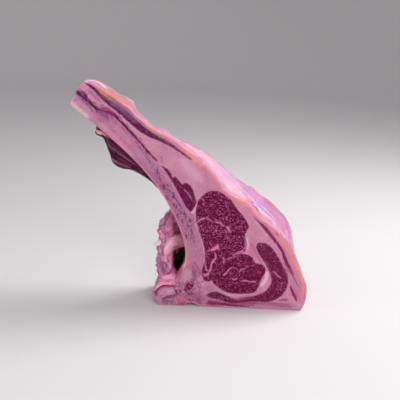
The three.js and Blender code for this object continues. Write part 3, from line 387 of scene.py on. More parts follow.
    ("fat", 0.7, 3.3, 2.1, 0, False, 1, [(9, 0, 53.7), (14.3, 0, 53.2), (17.6, 0, 55.4)]),
    ("pale_vein", 0.85, 1.5, 1.2, 0.2, False, 1, [(38.5, 0, 84.1), (40.3, 0, 78.6), (39.7, 0, 73)]),
    ("pink", 0.8, 3.6, 2.1, 0, False, 1, [(58.2, 0, 90.1), (64.8, 0, 92.9), (68.6, 0, 95.4)]),
    ("pale_vein", 0.8, 2.4, 1.5, 0, False, 1, [(68.5, 0, 97), (72.2, 0, 102.3), (71.2, 0, 109.4)]),
    ("milk", 0.6, 1.8, 1.5, 0, False, 1, [(73, 0, 115.9), (75.6, 0, 107.9), (75.5, 0, 98.2)]),
    ("pale_vein", 0.65, 1.8, 1.5, 0, False, 1, [(46.4, 0, 80.2), (53.9, 0, 84), (61.4, 0, 85.7)]),
    ("wine", 0.5, 6, 4.5, 0, False, 1, [(32.7, 0, 180.6), (42.1, 0, 171.7), (50.1, 0, 161)]),
    ("pale_vein", 0.6, 1.2, 1, 0, False, 1, [(56.1, 0, 131.8), (62, 0, 134.6), (66.6, 0, 133.2)]),
    ("pale_vein", 0.55, 1.2, 1, 0, False, 1, [(63.9, 0, 126.7), (68.6, 0, 125.3)]),
    ("vein", 0.5, 1.4, 1.2, 0, False, 1, [(38.3, 0, 155.8), (44.2, 0, 159.8)]),
    ("vein", 0.5, 1.4, 1.2, 0, False, 1, [(51.3, 0, 137.4), (55.7, 0, 139.8)]),
    ("pale_vein", 0.55, 1.2, 1, 0, False, 1, [(11, 0, 123), (16.9, 0, 125.5)]),
    ("pale_vein", 0.6, 1.4, 1, 0, False, 1, [(40.3, 0, 113.6), (46.3, 0, 114.5)]),
    ("wine", 0.45, 3.3, 3, 0, False, 1, [(6.9, 0, 110), (10.4, 0, 98.8), (12.3, 0, 87.6)]),
    ("plum", 0.55, 2.1, 1.8, 0, False, 1, [(-3, 0, 132), (1.3, 0, 121), (6.4, 0, 108.3)]),
    ("thread", 0.9, 1, 0.9, 0.2, False, 1, [(-1.8, 0, 138.7), (0.9, 0, 141.4), (5, 0, 143.7), (10.1, 0, 144.6)]),
    ("thread", 0.95, 1.2, 0.9, 0.2, False, 1, [(25.5, 0, 139.2), (30.3, 0, 138.4), (35.3, 0, 135.8), (37.8, 0, 133.6)]),
    ("thread", 0.9, 1.2, 0.9, 0.2, False, 1, [(26.1, 0, 89.4), (27.5, 0, 84.9), (25.9, 0, 79.3), (22.4, 0, 73.6), (20.9, 0, 66), (18.1, 0, 59)]),
    ("thread", 0.8, 1, 0.9, 0.2, False, 1, [(41.5, 0, 132.5), (45, 0, 129.1), (46.4, 0, 124.4)]),
    ("thread", 0.8, 1, 0.9, 0.2, False, 1, [(38.9, 0, 83.8), (40.3, 0, 78.6), (39.3, 0, 73.3)]),
    ("pink", 0.6, 1.8, 1.5, 0, False, 1, [(53.7, 0, 88.3), (62.1, 0, 91.2)]),
    ("pale_vein", 0.8, 1.5, 1, 0, False, 1, [(42.3, 0, 55.7), (47.2, 0, 61.8), (52.5, 0, 67.6)]),
    ("fat", 0.8, 2.4, 1.4, 0, False, 1, [(41.7, 0, 54.4), (44.4, 0, 57.8)]),
    ("pale_vein", 0.7, 1.2, 1, 0, False, 1, [(52.5, 0, 67.6), (57.8, 0, 67.2), (62.6, 0, 63.5)]),
    ("fat", 0.8, 2.1, 1.2, 0, False, 1, [(65.1, 0, 61.6), (67.7, 0, 64.7), (71.7, 0, 65.8)]),
    ("pale_vein", 0.7, 1.2, 1, 0, False, 1, [(71.7, 0, 65.8), (78.3, 0, 70.8)]),
    ("pale_vein", 0.85, 1.8, 1.2, 0.2, False, 1, [(54, 0, 48.9), (58.7, 0, 47.8), (61.7, 0, 50.9)]),
    ("pale_vein", 0.9, 1.8, 1.2, 0.2, False, 1, [(68.6, 0, 45.5), (74.2, 0, 47.1), (82.1, 0, 45.1), (90.7, 0, 45.5)]),
    ("pale_vein", 0.7, 1.5, 1.2, 0, False, 1, [(30.4, 0, 45.6), (32.2, 0, 39.1)]),
    ("crimson", 0.5, 4.5, 4.5, 0, False, 1, [(84.9, 0, 76.5), (91.5, 0, 69.6), (95.1, 0, 59.9)]),
    ("wine", 0.5, 6, 4.5, 0, False, 1, [(60.7, 0, 38.6), (76.4, 0, 35.9), (88.6, 0, 38.1)]),
    ("hot_rose", 0.75, 3.9, 2.7, 0, False, 1, [(78.6, 0, 108.1), (83.6, 0, 100.8), (88.7, 0, 92.3), (93.8, 0, 83.4), (98.9, 0, 74.8)]),
    ("milk", 0.6, 5.4, 3, 0, False, 1, [(107.3, 0, 62), (106.5, 0, 50.4), (99.4, 0, 38.5)]),
    ("milk", 0.3, 2.1, 1.8, 0, False, 1, [(28.6, 0, 30.2), (42.9, 0, 22.5), (61.6, 0, 20.2), (78.5, 0, 25)]),
    ("thread", 0.85, 1, 0.9, 0.2, False, 1, [(42.3, 0, 55.7), (47.3, 0, 61.5), (51.6, 0, 66.6)]),
    ("thread", 0.85, 1, 0.9, 0.2, False, 1, [(69, 0, 45.6), (74.2, 0, 46.8), (82, 0, 45.4), (89.8, 0, 45.4)]),
    ("thread", 0.8, 1, 0.9, 0.2, False, 1, [(54, 0, 49.2), (58.7, 0, 48.1), (61.4, 0, 50.5)]),
    ("pale_vein", 0.9, 1.7, 1, 0.2, False, 1, [(117.1, 0, 63.7), (123, 0, 58.4), (130.1, 0, 52.4)]),
    ("pale_vein", 0.7, 1.5, 1.2, 0, False, 1, [(102.6, 0, 78.2), (107.5, 0, 74.2)]),
    ("thread", 0.9, 1, 0.9, 0.2, False, 1, [(117.4, 0, 63.4), (123, 0, 58.4), (129.5, 0, 53)]),
    ("crimson", 0.5, 3, 2.7, 0, False, 1, [(97.7, 0, 94.3), (102.3, 0, 84.7), (106.5, 0, 75.1)]),
    ("crimson", 0.4, 3, 2.7, 0, False, 1, [(112.6, 0, 65.5), (116.2, 0, 52.5), (116.4, 0, 39.2)]),
    ("crimson", 0.5, 3, 2.7, 0, False, 1, [(95.7, 0, 23.3), (111, 0, 27.3), (124.3, 0, 37.9)]),
    ("wine", 0.5, 7.5, 6, 0, False, 1, [(120.1, 0, 78.9), (130.4, 0, 62.9), (134.8, 0, 43.3)]),
    ("pale_vein", 0.6, 1.2, 1.2, 0, False, 1, [(131.6, 0, 44.8), (130.2, 0, 33.1)]),
    ("rose", 0.6, 2.1, 2.1, 0, False, 1, [(58.8, 0, 14.1), (72.8, 0, 15), (89.7, 0, 19.7)]),
    ("wine", 0.8, 3, 2.1, 0, False, 1, [(19.5, 0, 22.8), (28.9, 0, 22.2), (38.4, 0, 18.9)]),
    ("wine", 0.4, 7.5, 6, 0, False, 1, [(68.2, 0, 13.8), (89.8, 0, 17.4), (108.1, 0, 23.8), (121.4, 0, 34.4)]),
    ("rose_dark", 0.75, 4.5, 3.9, 0, False, 1, [(15.5, 0, 5.9), (31.2, 0, 5.5), (52.9, 0, 7.1), (74.7, 0, 9), (96.5, 0, 9.2)]),
    ("rose_dark", 0.45, 5.1, 3.9, 0, False, 1, [(96.5, 0, 9.2), (115.3, 0, 8.3), (134, 0, 7.4), (149.7, 0, 5.7)]),
    ("crim2", 0.6, 1.8, 1.5, 0, False, 1, [(102.6, 0, 11.2), (118.2, 0, 10.8), (133.8, 0, 10.8), (144.8, 0, 9.2)]),
    ("crim2", 0.6, 2.1, 1.7, 0, False, 1, [(62.2, 0, 9.5), (77.7, 0, 11.5), (93.2, 0, 11.8)]),
    ("pink", 0.5, 2.1, 1.8, 0, False, 1, [(78, 0, 4.8), (96.7, 0, 5.2), (115.5, 0, 4.6)]),
    ("crimson", 0.85, 2.4, 1.5, -0.3, False, 1, [(129.3, 0, 15.3), (135.8, 0, 17.6), (143, 0, 17.2)]),
    ("plum", 0.6, 1.4, 1.2, 0, False, 1, [(132, 0, 14.8), (139.7, 0, 15.7)]),
    ("crimson", 0.6, 1.5, 1.5, 0, False, 1, [(86.9, 0, 13.2), (105.5, 0, 15), (122.5, 0, 16.7)]),
    ("plum", 0.7, 1.5, 1.4, -0.3, False, 1, [(57.8, 0, 3.9), (74.8, 0, 5.6), (92, 0, 5.3)]),
    ("crimson", 0.75, 4.5, 2.4, 0, False, 1, [(19.5, 0, 9.4), (24, 0, 4.9)]),
    ("crimson", 0.6, 1.8, 1.8, 0, False, 1, [(26.6, 0, 3.6), (42, 0, 8), (54.6, 0, 5.8)]),
    ("salmon", 0.4, 3, 2.4, 0, False, 1, [(155.4, 0, 14), (162.7, 0, 21.1), (164.9, 0, 32.9)]),
    ("mauve", 0.6, 1.7, 1.5, 0, False, 1, [(138.2, 0, 15), (149.4, 0, 10.4), (157.5, 0, 5.7)]),
    ("crim2", 0.8, 3, 2.1, 0, False, 1, [(95, 0, 139.8), (103.1, 0, 131.5), (111.3, 0, 121.6), (117.9, 0, 112.9)]),
    ("fat", 0.9, 2.4, 1.5, 0, False, 1, [(117.6, 0, 108.7), (120.5, 0, 101.7), (124.9, 0, 95.4), (127.6, 0, 90.6)]),
    ("fat", 0.9, 3.3, 1.8, 0, False, 1, [(148.5, 0, 58.8), (153.5, 0, 50), (157.1, 0, 42.5)]),
    ("fat", 0.7, 2.1, 1.5, 0, False, 1, [(145.4, 0, 55.3), (149.8, 0, 48.9), (153.4, 0, 42.4)]),
    ("crim2", 0.6, 2.1, 1.8, 0, False, 1, [(131.5, 0, 78.4), (136, 0, 70.4), (141.7, 0, 63.4)]),
    ("crimson", 0.75, 3, 2.1, 0, False, 1, [(145.3, 0, 38.7), (149.7, 0, 28.9), (155.2, 0, 17.4)]),
    ("rose", 0.55, 4.5, 3.9, 0, False, 1, [(151.8, 0, 34), (157.2, 0, 24.2), (161, 0, 14.3)]),
    ("wine", 0.6, 1.5, 1.4, -0.4, False, 1, [(83.3, 0, 150), (95.1, 0, 138.2), (108.2, 0, 122.7), (119.7, 0, 109.7)]),
    ("crimson", 0.6, 1.5, 1.4, -0.3, False, 1, [(128, 0, 98.8), (136.3, 0, 80.2), (144.7, 0, 64.5), (154.8, 0, 44.1)]),
    ("pink", 0.5, 1.5, 1.5, 0, False, 1, [(142.2, 0, 70), (150.2, 0, 57.2)]),
    ("cream", 0.3, 2.4, 2.4, 0, False, 1, [(82.7, 0, 143.4), (95.6, 0, 130.2), (105.5, 0, 117.2)]),
    ("mauve", 0.55, 10.5, 6, 0, False, 1, [(-16.2, 0, 23.7), (-3.5, 0, 15.9), (6, 0, 9.5)]),
    ("rose", 0.6, 10.5, 6, 0, False, 1, [(-28.3, 0, 11.5), (-18.9, 0, 10.8), (-9.8, 0, 15.6)]),
    ("grey_pink", 0.7, 9, 5.4, 0.6, False, 1, [(-16.2, 0, 60.9), (-16.2, 0, 52), (-19, 0, 42.9)]),
    ("bone", 0.7, 4.5, 3.6, 0, False, 1, [(-10.6, 0, 58.8), (-9.9, 0, 48.9)]),
    ("rose_lite", 0.6, 3, 2.7, 0, False, 1, [(-18, 0, 79.8), (-15.3, 0, 70.1), (-9.7, 0, 61.1)]),
    ("salmon", 0.8, 3, 2.1, 0.8, False, 1, [(-19.1, 0, 73.9), (-23.1, 0, 66.2), (-27.3, 0, 62.1), (-30.6, 0, 57)]),
    ("crimson", 0.75, 2.1, 1.8, -1, False, 1, [(-32.2, 0, 58.6), (-32.9, 0, 52.9), (-31.9, 0, 48)]),
    ("pink", 0.6, 2.1, 1.8, 0.6, False, 1, [(-28.6, 0, 53.1), (-31.5, 0, 46.4), (-30.1, 0, 39.8)]),
    ("purple", 0.55, 2.4, 2.1, -0.4, False, 1, [(-26.7, 0, 49.9), (-28.5, 0, 39.9), (-25.8, 0, 31.7)]),
    ("pink", 0.85, 9, 4.5, 1.4, False, 1, [(-51.4, 0, 38.9), (-43.8, 0, 44.2), (-37, 0, 44.5)]),
    ("mauve", 0.6, 2.4, 2.1, 0, False, 1, [(-43.7, 0, 39.9), (-36.9, 0, 41.9)]),
    ("milk", 0.85, 2.4, 1.8, 1.2, False, 1, [(-57.8, 0, 34), (-54.5, 0, 39.8), (-49.4, 0, 46), (-42.7, 0, 50.2)]),
    ("hot_pink", 0.95, 3.3, 2.1, 2.2, False, 1, [(-58.9, 0, 28.6), (-53.8, 0, 34.5), (-47.7, 0, 37.1), (-40.5, 0, 35.7), (-33.7, 0, 37.3)]),
    ("milk", 0.9, 2.7, 1.8, 1.2, False, 1, [(-63.8, 0, 24.1), (-62, 0, 28.5), (-58.4, 0, 32)]),
    ("crimson", 0.95, 3, 1.8, -1.8, False, 1, [(-63.7, 0, 20.7), (-60.7, 0, 25.2), (-56.5, 0, 30.7), (-51.3, 0, 32.6)]),
    ("red", 0.85, 2, 1.5, -1.6, False, 1, [(-51.3, 0, 32.6), (-43.5, 0, 31.9), (-35.7, 0, 32.3)]),
    ("crimson", 0.85, 4.5, 2.4, -0.6, False, 1, [(-63.7, 0, 20.7), (-61.8, 0, 17.5)]),
    ("bone", 0.9, 0, 3.6, 0.5, True, 1, [(-54.2, 0, 27.2), (-47.4, 0, 28.8), (-36, 0, 30.2), (-34.3, 0, 25), (-38.5, 0, 19.1), (-47.1, 0, 16.4), (-57.2, 0, 18.7)]),
    ("lavender", 0.6, 4.5, 3.6, 0.3, False, 1, [(-44.2, 0, 23.2), (-38.9, 0, 24.4)]),
    ("purple", 0.5, 0, 2.7, -0.6, True, 1, [(-51.6, 0, 8.8), (-47.1, 0, 14.7), (-40.9, 0, 16.3), (-33.8, 0, 18.3), (-32.5, 0, 14.7), (-39.2, 0, 10), (-44.4, 0, 5.1), (-49.9, 0, 2.1)]),
    ("plum", 0.7, 1.5, 1.4, -0.6, False, 1, [(-52.5, 0, 8.1), (-49.2, 0, 13), (-44.6, 0, 15.2)]),
    ("plum", 0.6, 1.4, 1.4, 0, False, 1, [(-42.4, 0, 14.2), (-37.8, 0, 16.5)]),
    ("bone", 0.6, 6, 4.5, 0, False, 1, [(-60.1, 0, 12.8), (-56.3, 0, 6.9)]),
    ("crimson", 0.8, 3.6, 2.4, 0, False, 1, [(-33.8, 0, 17.6), (-29.2, 0, 18.8)]),
    ("pink", 0.6, 2.1, 1.8, 0.5, False, 1, [(-35.1, 0, 10.5), (-28.4, 0, 14.8)]),
    ("ink", 0.9, 2, 1.2, -1.2, False, 1, [(-31.1, 0, 25.4), (-30.9, 0, 20.4)]),
    ("wine", 0.9, 2.1, 1.4, -1, False, 1, [(-25.1, 0, 24.2), (-24, 0, 23.9)]),
    ("wine", 0.95, 2.1, 1.4, -1, False, 1, [(-10.5, 0, 10.9), (-9.7, 0, 10.2)]),
    ("purple", 0.6, 1.5, 1.5, 0, False, 1, [(-35.4, 0, 29.6), (-34, 0, 25.3)]),
    ("crimson", 0.6, 3.6, 2.7, 0, False, 1, [(-24.9, 0, 2.8), (-17.8, 0, 4.1)]),
    ("wine", 0.85, 3.9, 2.4, -0.3, False, 1, [(-8, 0, 38.4), (-12.5, 0, 32.9), (-14.8, 0, 27.8)]),
    ("plum", 0.8, 1.8, 1.5, -0.3, False, 1, [(-8, 0, 45.4), (-5.4, 0, 42.5)]),
    ("ink", 0.6, 1.8, 1.5, -0.4, False, 1, [(-6.4, 0, 36.5), (-6.9, 0, 31.1)]),
    ("plum", 0.7, 1.5, 1.4, -0.3, False, 1, [(-17.2, 0, 24), (-15.8, 0, 30.4)]),
    ("bone_dark", 0.75, 3.9, 2.7, -0.3, False, 1, [(-13.7, 0, 20.8), (-8.3, 0, 19.4), (-6.2, 0, 21.8)]),
    ("purple", 0.5, 5.1, 3.9, 0, False, 1, [(-6.3, 0, 52.4), (-1.5, 0, 46)]),
    ("plum", 0.5, 1.5, 1.5, -0.3, False, 1, [(1.8, 0, 13.4), (5.1, 0, 9.1), (8.1, 0, 4.5)]),
    ("mauve", 0.55, 1.5, 1.5, 0, False, 1, [(2.5, 0, 21.1), (9.5, 0, 25.4), (13.9, 0, 31.6)]),
    ("rim_beige", 0.55, 2.4, 2.1, 0.2, False, 1, [(-23.1, 0, 105.5), (-20.3, 0, 94.3), (-18.7, 0, 81.4), (-17.7, 0, 70)]),
    ("rose_lite", 0.4, 5.4, 4.8, 0, False, 1, [(-15.1, 0, 73.4), (-11.7, 0, 63.7), (-9.6, 0, 57.2)]),
    ("glint", 0.8, 1.2, 0.9, 0.8, False, 1, [(-60.7, 0, 37.9), (-56.4, 0, 41.4), (-51.9, 0, 44.6), (-44.5, 0, 48.2), (-37.1, 0, 49.1)]),
    ("fold", 0.8, 1.5, 1, 0.8, False, 1, [(-59.3, 0, 31), (-53.2, 0, 36.5), (-45.9, 0, 39.5), (-36.9, 0, 39.9)]),
    ("fold", 0.9, 1.7, 1, 1, False, 1, [(-64.7, 0, 24), (-61.5, 0, 30.5), (-56.3, 0, 34.1), (-47.3, 0, 35.4), (-38.3, 0, 35.8), (-33.8, 0, 39.3)]),
    ("glint", 0.7, 1, 0.9, 0.6, False, 1, [(-63, 0, 29.1), (-58.4, 0, 34), (-54.7, 0, 35.5)]),
    ("glint", 0.6, 1, 0.9, 0.6, False, 1, [(-49.8, 0, 36.3), (-43.9, 0, 37.2), (-39.9, 0, 37.1)]),
    # Crimson crease under the chine ridge fold, darkened as painted shade over a shallow groove.
    ("crimson", 0.9, 1.5, 1, -0.8, False, 1, [(-63.7, 0, 20.7), (-57.7, 0, 28.4), (-50.1, 0, 31.3), (-41.3, 0, 31), (-34.2, 0, 33)]),
    ("crimson", 0.6, 1.2, 1, -0.5, False, 1, [(-57.5, 0, 34.7), (-51.8, 0, 40.2), (-44.4, 0, 42.9), (-36.4, 0, 43.2)]),
    ("hot_rose", 0.6, 1.2, 1, -0.3, False, 1, [(-53.9, 0, 39.5), (-46.9, 0, 44.4), (-37.7, 0, 46.1)]),
    ("plum", 0.6, 1, 0.9, -0.3, False, 1, [(-51.7, 0, 9.8), (-46.4, 0, 12.7), (-40.5, 0, 12), (-35.9, 0, 15.2)]),
    ("plum", 0.5, 1, 0.9, -0.3, False, 1, [(-50, 0, 4.8), (-43.8, 0, 8.1), (-38.2, 0, 7.7)]),
    ("grey_pink", 0.6, 1.8, 1.5, 0.3, False, 1, [(-47.9, 0, 10.7), (-41.4, 0, 9.6)]),
    ("ink", 0.9, 1.5, 0.9, -1, False, 1, [(-32.4, 0, 23), (-31.3, 0, 21.8)]),
    ("ink", 0.9, 1.5, 0.9, -1, False, 1, [(-25.8, 0, 25.3), (-24.7, 0, 25)]),
    ("ink", 0.95, 1.8, 0.9, -1, False, 1, [(-11, 0, 11.5), (-9.8, 0, 10.9)]),
    ("ink", 0.9, 1.4, 0.9, -1, False, 1, [(-5.8, 0, 10), (-4.9, 0, 9.4)]),
    ("bone", 0.75, 1.4, 1.2, 0.2, False, 1, [(-10.9, 0, 41.3), (-9, 0, 38.4), (-5.8, 0, 37.5)]),
    ("mauve", 0.8, 1.8, 1.4, 0.2, False, 1, [(-17.1, 0, 31), (-14.2, 0, 27.1)]),
    ("pink", 0.6, 1.2, 1, 0.2, False, 1, [(-11.9, 0, 34.9), (-9.7, 0, 31.7)]),
    ("plum", 0.7, 1.2, 1, -0.3, False, 1, [(-14.1, 0, 24.5), (-12.1, 0, 21.5)]),
    ("plum", 0.7, 1.2, 1, -0.3, False, 1, [(-9.1, 0, 25), (-6.2, 0, 21.8)]),
    ("violet", 0.5, 1.8, 1.5, -0.2, False, 1, [(-16.8, 0, 22), (-13, 0, 19.8), (-7.7, 0, 19.7)]),
    ("crim2", 0.6, 1.4, 1.2, -0.3, False, 1, [(-5, 0, 57.4), (-0.8, 0, 51.6), (3.9, 0, 49.5)]),
    ("plum", 0.6, 1.2, 1, -0.3, False, 1, [(-8.1, 0, 58.9), (-4.8, 0, 53.1), (-3.4, 0, 47.5)]),
    ("pink", 0.7, 1.2, 1, 0.2, False, 1, [(-0.3, 0, 56.6), (2, 0, 51.1)]),
    ("bone_lite", 0.5, 3, 2.4, 0.2, False, 1, [(4.9, 0, 39.6), (9.8, 0, 33.8)]),
    ("bone_lite", 0.5, 3, 2.4, 0.2, False, 1, [(-1.6, 0, 32.7), (2.3, 0, 26.2)]),
    ("crim2", 0.5, 1.2, 1, -0.2, False, 1, [(0.2, 0, 42.7), (5, 0, 36.9), (7.4, 0, 31.4)]),
    ("milk2", 0.5, 13.5, 9, 0, False, 0.34, [(-6, 44.6, 239.8), (12.9, 37.3, 226.5), (32.2, 46.5, 207.7), (48.4, 45.8, 192.6), (61.1, 40.7, 183.2)]),
    ("milk2", 0.4, 9, 7.5, 0, False, 0.34, [(6.7, 31.9, 230.6), (19.3, 21.8, 218), (32, 21.5, 202.9), (44.8, 19.6, 189.8)]),
    ("milk2", 0.5, 7.5, 6, 0, False, 0.34, [(38.5, 21.2, 195.4), (49.5, 21.5, 186.3), (60.4, 18.3, 179.8), (69.7, 15.6, 174.6)]),
    ("lilac2", 0.5, 4.5, 3.8, 0, False, 0.34, [(32.2, 42.1, 207.2), (45.3, 50.6, 196), (55.2, 57, 188.3)]),
    ("lilac2", 0.5, 10.5, 7.5, 0, False, 0.34, [(64.4, 42.7, 181.8), (77.7, 50.9, 173), (90.5, 47.7, 163.7), (103.4, 43.8, 153.3)]),
    ("lilac2", 0.45, 7.5, 6, 0, False, 0.34, [(83.2, 30.8, 166), (96.2, 31.9, 154.9), (109, 29, 145.6)]),
    ("lilac2", 0.5, 7.5, 6, 0, False, 0.34, [(106.5, 42, 150.7), (117.4, 33.6, 140.7), (124.8, 21.7, 130.1)]),
    ("pink", 0.35, 6, 6, 0, False, 0.34, [(78.2, 64.4, 175.8), (98.2, 66.7, 161.2), (114.3, 60.8, 149.3)]),
    ("mauve", 0.5, 1.5, 1.5, 0, False, 0.34, [(67.1, 47.9, 180.8), (77.6, 49.2, 172.8), (87, 42.3, 165.7)]),
    # Painted highlights: pale lines along the raised ridges of the outer fat.
    ("milk2", 0.8, 2.4, 2.1, 0.8, False, 0.34, [(83.2, 17.4, 162.5), (89.1, 17.5, 156.4), (95.4, 16, 151.3)]),
    ("milk2", 0.6, 2.4, 2.7, 0.6, False, 0.34, [(95.4, 16, 151.3), (106.1, 18.5, 144.9), (114.9, 20.2, 138.9), (121.8, 16.3, 131.8)]),
    ("milk2", 0.4, 3, 3.6, 0.4, False, 0.34, [(121.2, 17.5, 132.9), (127.1, 8.6, 124.8), (133.2, 1.3, 114.6)]),
    ("lilac2", 0.7, 1.5, 1.4, 0, False, 0.34, [(70.7, 39.8, 177.4), (80.3, 38.3, 170.2), (90, 38.2, 161.9), (99.7, 35.7, 153.9)]),
    ("violet", 0.3, 1.5, 1.4, 0, False, 0.34, [(97.5, 54.4, 159.7), (106.9, 47.8, 151.6), (116.3, 41, 143.2)]),
    ("violet", 0.3, 1.5, 1.4, 0, False, 0.34, [(89.6, 28.7, 159.5), (99.2, 27.5, 151.5), (108.4, 20.9, 144.2)]),
    # Painted highlights: white lines on the outer fat, one beside the gouge.
    ("white", 0.75, 1.4, 1.2, 0.3, False, 0.34, [(82.7, 20.9, 164.4), (88.1, 19.3, 159.3), (94.6, 19.4, 153.1), (102, 19.8, 147.9)]),
    ("white", 0.55, 1.2, 1.2, 0.3, False, 0.34, [(99.7, 35.7, 153.9), (109.1, 30.6, 146.1), (118.5, 25.8, 137.3)]),
    ("white", 0.5, 1.2, 1.2, 0.3, False, 0.34, [(112.6, 36, 145.3), (122, 29.3, 135.7), (128, 20.6, 127.4)]),
    ("white", 0.5, 1.4, 1.4, 0.3, False, 0.34, [(58, 43.1, 185), (69, 37.6, 178.6), (76.9, 35.4, 171.8)]),
    # Painted shade: near black and dark ink in the thin gouge on the outer fat, over a shallow groove.
    ("black", 0.95, 1.8, 0.9, -1, False, 0.34, [(79.1, 23.3, 166.7), (81.1, 20, 164.6)]),
    ("black", 0.95, 2, 0.9, -1, False, 0.34, [(83.6, 17, 162), (87.2, 17.6, 157.6), (90, 16.1, 154.6)]),
    ("ink", 0.6, 1.4, 1.2, -1, False, 0.34, [(79.4, 23.4, 166.4), (83.3, 17.9, 162.7), (89.7, 16.4, 154.8)]),
    ("hot_rose", 0.5, 3, 2.4, 0, False, 0.34, [(85.5, 8.8, 156.6), (91.8, 7.1, 150.4), (99.7, 4.6, 143.6)]),
    ("hot_rose", 0.4, 3, 2.7, 0, False, 0.34, [(136.1, 39.4, 124.9), (140.3, 27.7, 115.7), (141.5, 3.7, 107.7)]),
    ("mauve", 0.4, 7.5, 6, 0, False, 0.34, [(101.4, 65.7, 159), (116.2, 63.5, 148.6), (133.8, 72, 133.4), (143.1, 68.3, 120)]),
    ("mauve", 0.5, 1.4, 1.2, 0, False, 0.34, [(90.5, 46.3, 163.4), (101.7, 43.1, 154.1), (112.7, 36.8, 145.4), (124, 32.9, 134.6)]),
    ("mauve", 0.5, 1.4, 1.2, 0, False, 0.34, [(96.1, 28.4, 153.7), (105.4, 22.5, 146.2), (114.8, 18.3, 138.2), (122.6, 14.1, 130.2)]),
    ("hot_rose", 0.45, 1.4, 1.2, 0, False, 0.34, [(66.9, 26.1, 177.8), (76.6, 26.9, 170), (84.4, 22.9, 163.5)]),
    # Painted highlights: thin white lines on the outer fat.
    ("white", 0.8, 1.2, 1, 0.3, False, 0.34, [(89.4, 24.8, 158.4), (99, 23.2, 150.2), (108.3, 18.3, 143.5), (117.8, 15.1, 134.2)]),
    ("white", 0.7, 1.2, 1, 0.3, False, 0.34, [(71.8, 28.4, 174.8), (80.9, 30.1, 167.7), (87, 28.2, 162.1)]),
    ("white", 0.6, 1.2, 1, 0.3, False, 0.34, [(48, 27.3, 189.5), (57.5, 26.7, 182.7), (65.3, 23.7, 178.5)]),
    ("hot_rose", 0.4, 1.2, 1.2, 0, False, 0.34, [(32, 6.5, 197.5), (43.1, 8.8, 187), (53.9, 6.4, 180.6)]),
    ("mauve", 0.4, 1.2, 1.2, 0, False, 0.34, [(22.5, 16, 213.3), (35.3, 22.7, 199), (46.4, 24.2, 190.2)]),
    ("milk2", 0.5, 1.5, 1.5, 0, False, 0.34, [(-5.8, 29.8, 239.9), (6.7, 25.7, 230.5), (19.3, 26.6, 219)]),
    ("milk2", 0.5, 1.5, 1.5, 0, False, 0.34, [(13, 13.2, 222.9), (25.6, 16.2, 209.3), (38.5, 21.2, 195.4)]),
    ("purple", 0.6, 1.8, 1.5, -0.6, False, 0.34, [(87.4, 14.2, 156.6), (93, 11.2, 150.5)]),
    ("salmon", 0.6, 4.5, 3.6, 0, False, 0.34, [(78.8, 3.5, 162.7), (88.5, 3.6, 152), (98, 3.8, 144.4)]),
    ("salmon", 0.7, 1.8, 1.5, 0, False, 0.34, [(78.3, 38, 171.1), (81, 39.2, 169.9)]),
    ("orange", 0.6, 1.8, 1.5, 0, False, 0.34, [(83.7, 42.3, 168.9), (85.2, 39.6, 166.8)]),
    ("mauve", 0.5, 1.4, 1.4, -0.4, False, 0.34, [(47.3, 22.2, 188.6), (53.7, 24.4, 184.2), (59.4, 26.3, 181.9)]),
    ("mauve", 0.5, 1.4, 1.4, -0.4, False, 0.34, [(57.4, 41.6, 184.7), (61.9, 36.7, 182.1)]),
    ("salmon", 0.6, 3, 2.7, 0, False, 0.34, [(132.2, 52, 131.2), (136.8, 46.7, 125.8)]),
    ("rose", 0.4, 6, 4.5, 0, False, 0.34, [(135.4, 50.9, 127.8), (140.8, 42, 119.3), (139.1, 14, 113.8)]),
    ("mauve", 0.3, 10.5, 9, 0, False, 0.34, [(109.1, 30.6, 146.1), (122, 29.3, 135.7), (131.5, 23.4, 125)]),
    ("pink", 0.5, 4.5, 3.9, 0, False, 0.34, [(121.9, 26.9, 134.8), (127.6, 15, 126)]),
    ("red", 0.85, 2, 1.4, -0.6, False, 0.34, [(118.1, 0.7, 125.5), (120.4, 0.2, 121.9)]),
    ("peach", 0.5, 4.5, 4.5, 0, False, 0.34, [(139.9, 0.5, 103.9), (148.6, 2.6, 92.2), (155.4, 3.2, 76.5), (161.6, 3.3, 62.4), (167.2, 2.7, 48.5)]),
    # Painted highlight: white along the top of the rib tip's outer side.
    ("white", 0.7, 6, 4.5, 0, False, 0.34, [(-170.6, 0.5, 343.8), (-165.2, 22.8, 342.6), (-158.4, 37.5, 338.8), (-144.7, 23.9, 332.2)]),
    ("milk", 0.5, 3.6, 3.8, 0, False, 0.34, [(-159, 31.3, 339.5), (-151.8, 32.7, 336.1)]),
    ("cream", 0.7, 3, 2.7, 0.6, False, 0.34, [(-116, 63.3, 311.7), (-109.1, 71.1, 306.8), (-106.8, 71.5, 304)]),
    ("peach", 0.4, 6, 4.5, 0, False, 0.34, [(-105, 45.4, 302.1), (-97, 42.4, 290.8), (-86.6, 27, 284.8), (-75.1, 13.9, 278.6)]),
    ("cream", 0.6, 3, 2.7, 0, False, 0.34, [(-95.5, 42.1, 289.3), (-86.3, 43.4, 281.8), (-77.1, 42.4, 275.3)]),
    ("pink", 0.7, 6, 3.6, 1, False, 0.34, [(-67.1, 14.3, 275.8), (-65.1, 46.3, 271.6), (-58.8, 27.5, 270.6)]),
    ("milk", 0.6, 6, 4.5, 0, False, 0.34, [(-58.1, 31.2, 269.9), (-45.7, 29, 261.6), (-30.9, 44.8, 251.9)]),
    ("salmon", 0.5, 4.5, 3.6, 0, False, 0.34, [(-52, 0.9, 267.9), (-40.2, 3.7, 262.4), (-28.3, 10.5, 254)]),
    ("cream", 0.6, 9, 6, 0, False, 0.34, [(-27.6, 37.4, 251.4), (-15.1, 30.2, 245.7), (-2.6, 21.3, 237.3)]),
    ("sal2", 0.95, 9, 3.8, 0, False, 0.7, [(-160.4, 42, 262.9), (-153.9, 26.9, 264.5), (-147.6, 25.3, 261.4), (-142, 23.5, 258.4)]),
    ("cream", 0.95, 6, 3, 0, False, 0.7, [(-162.7, 47.1, 261.8), (-155.7, 41, 260.2)]),
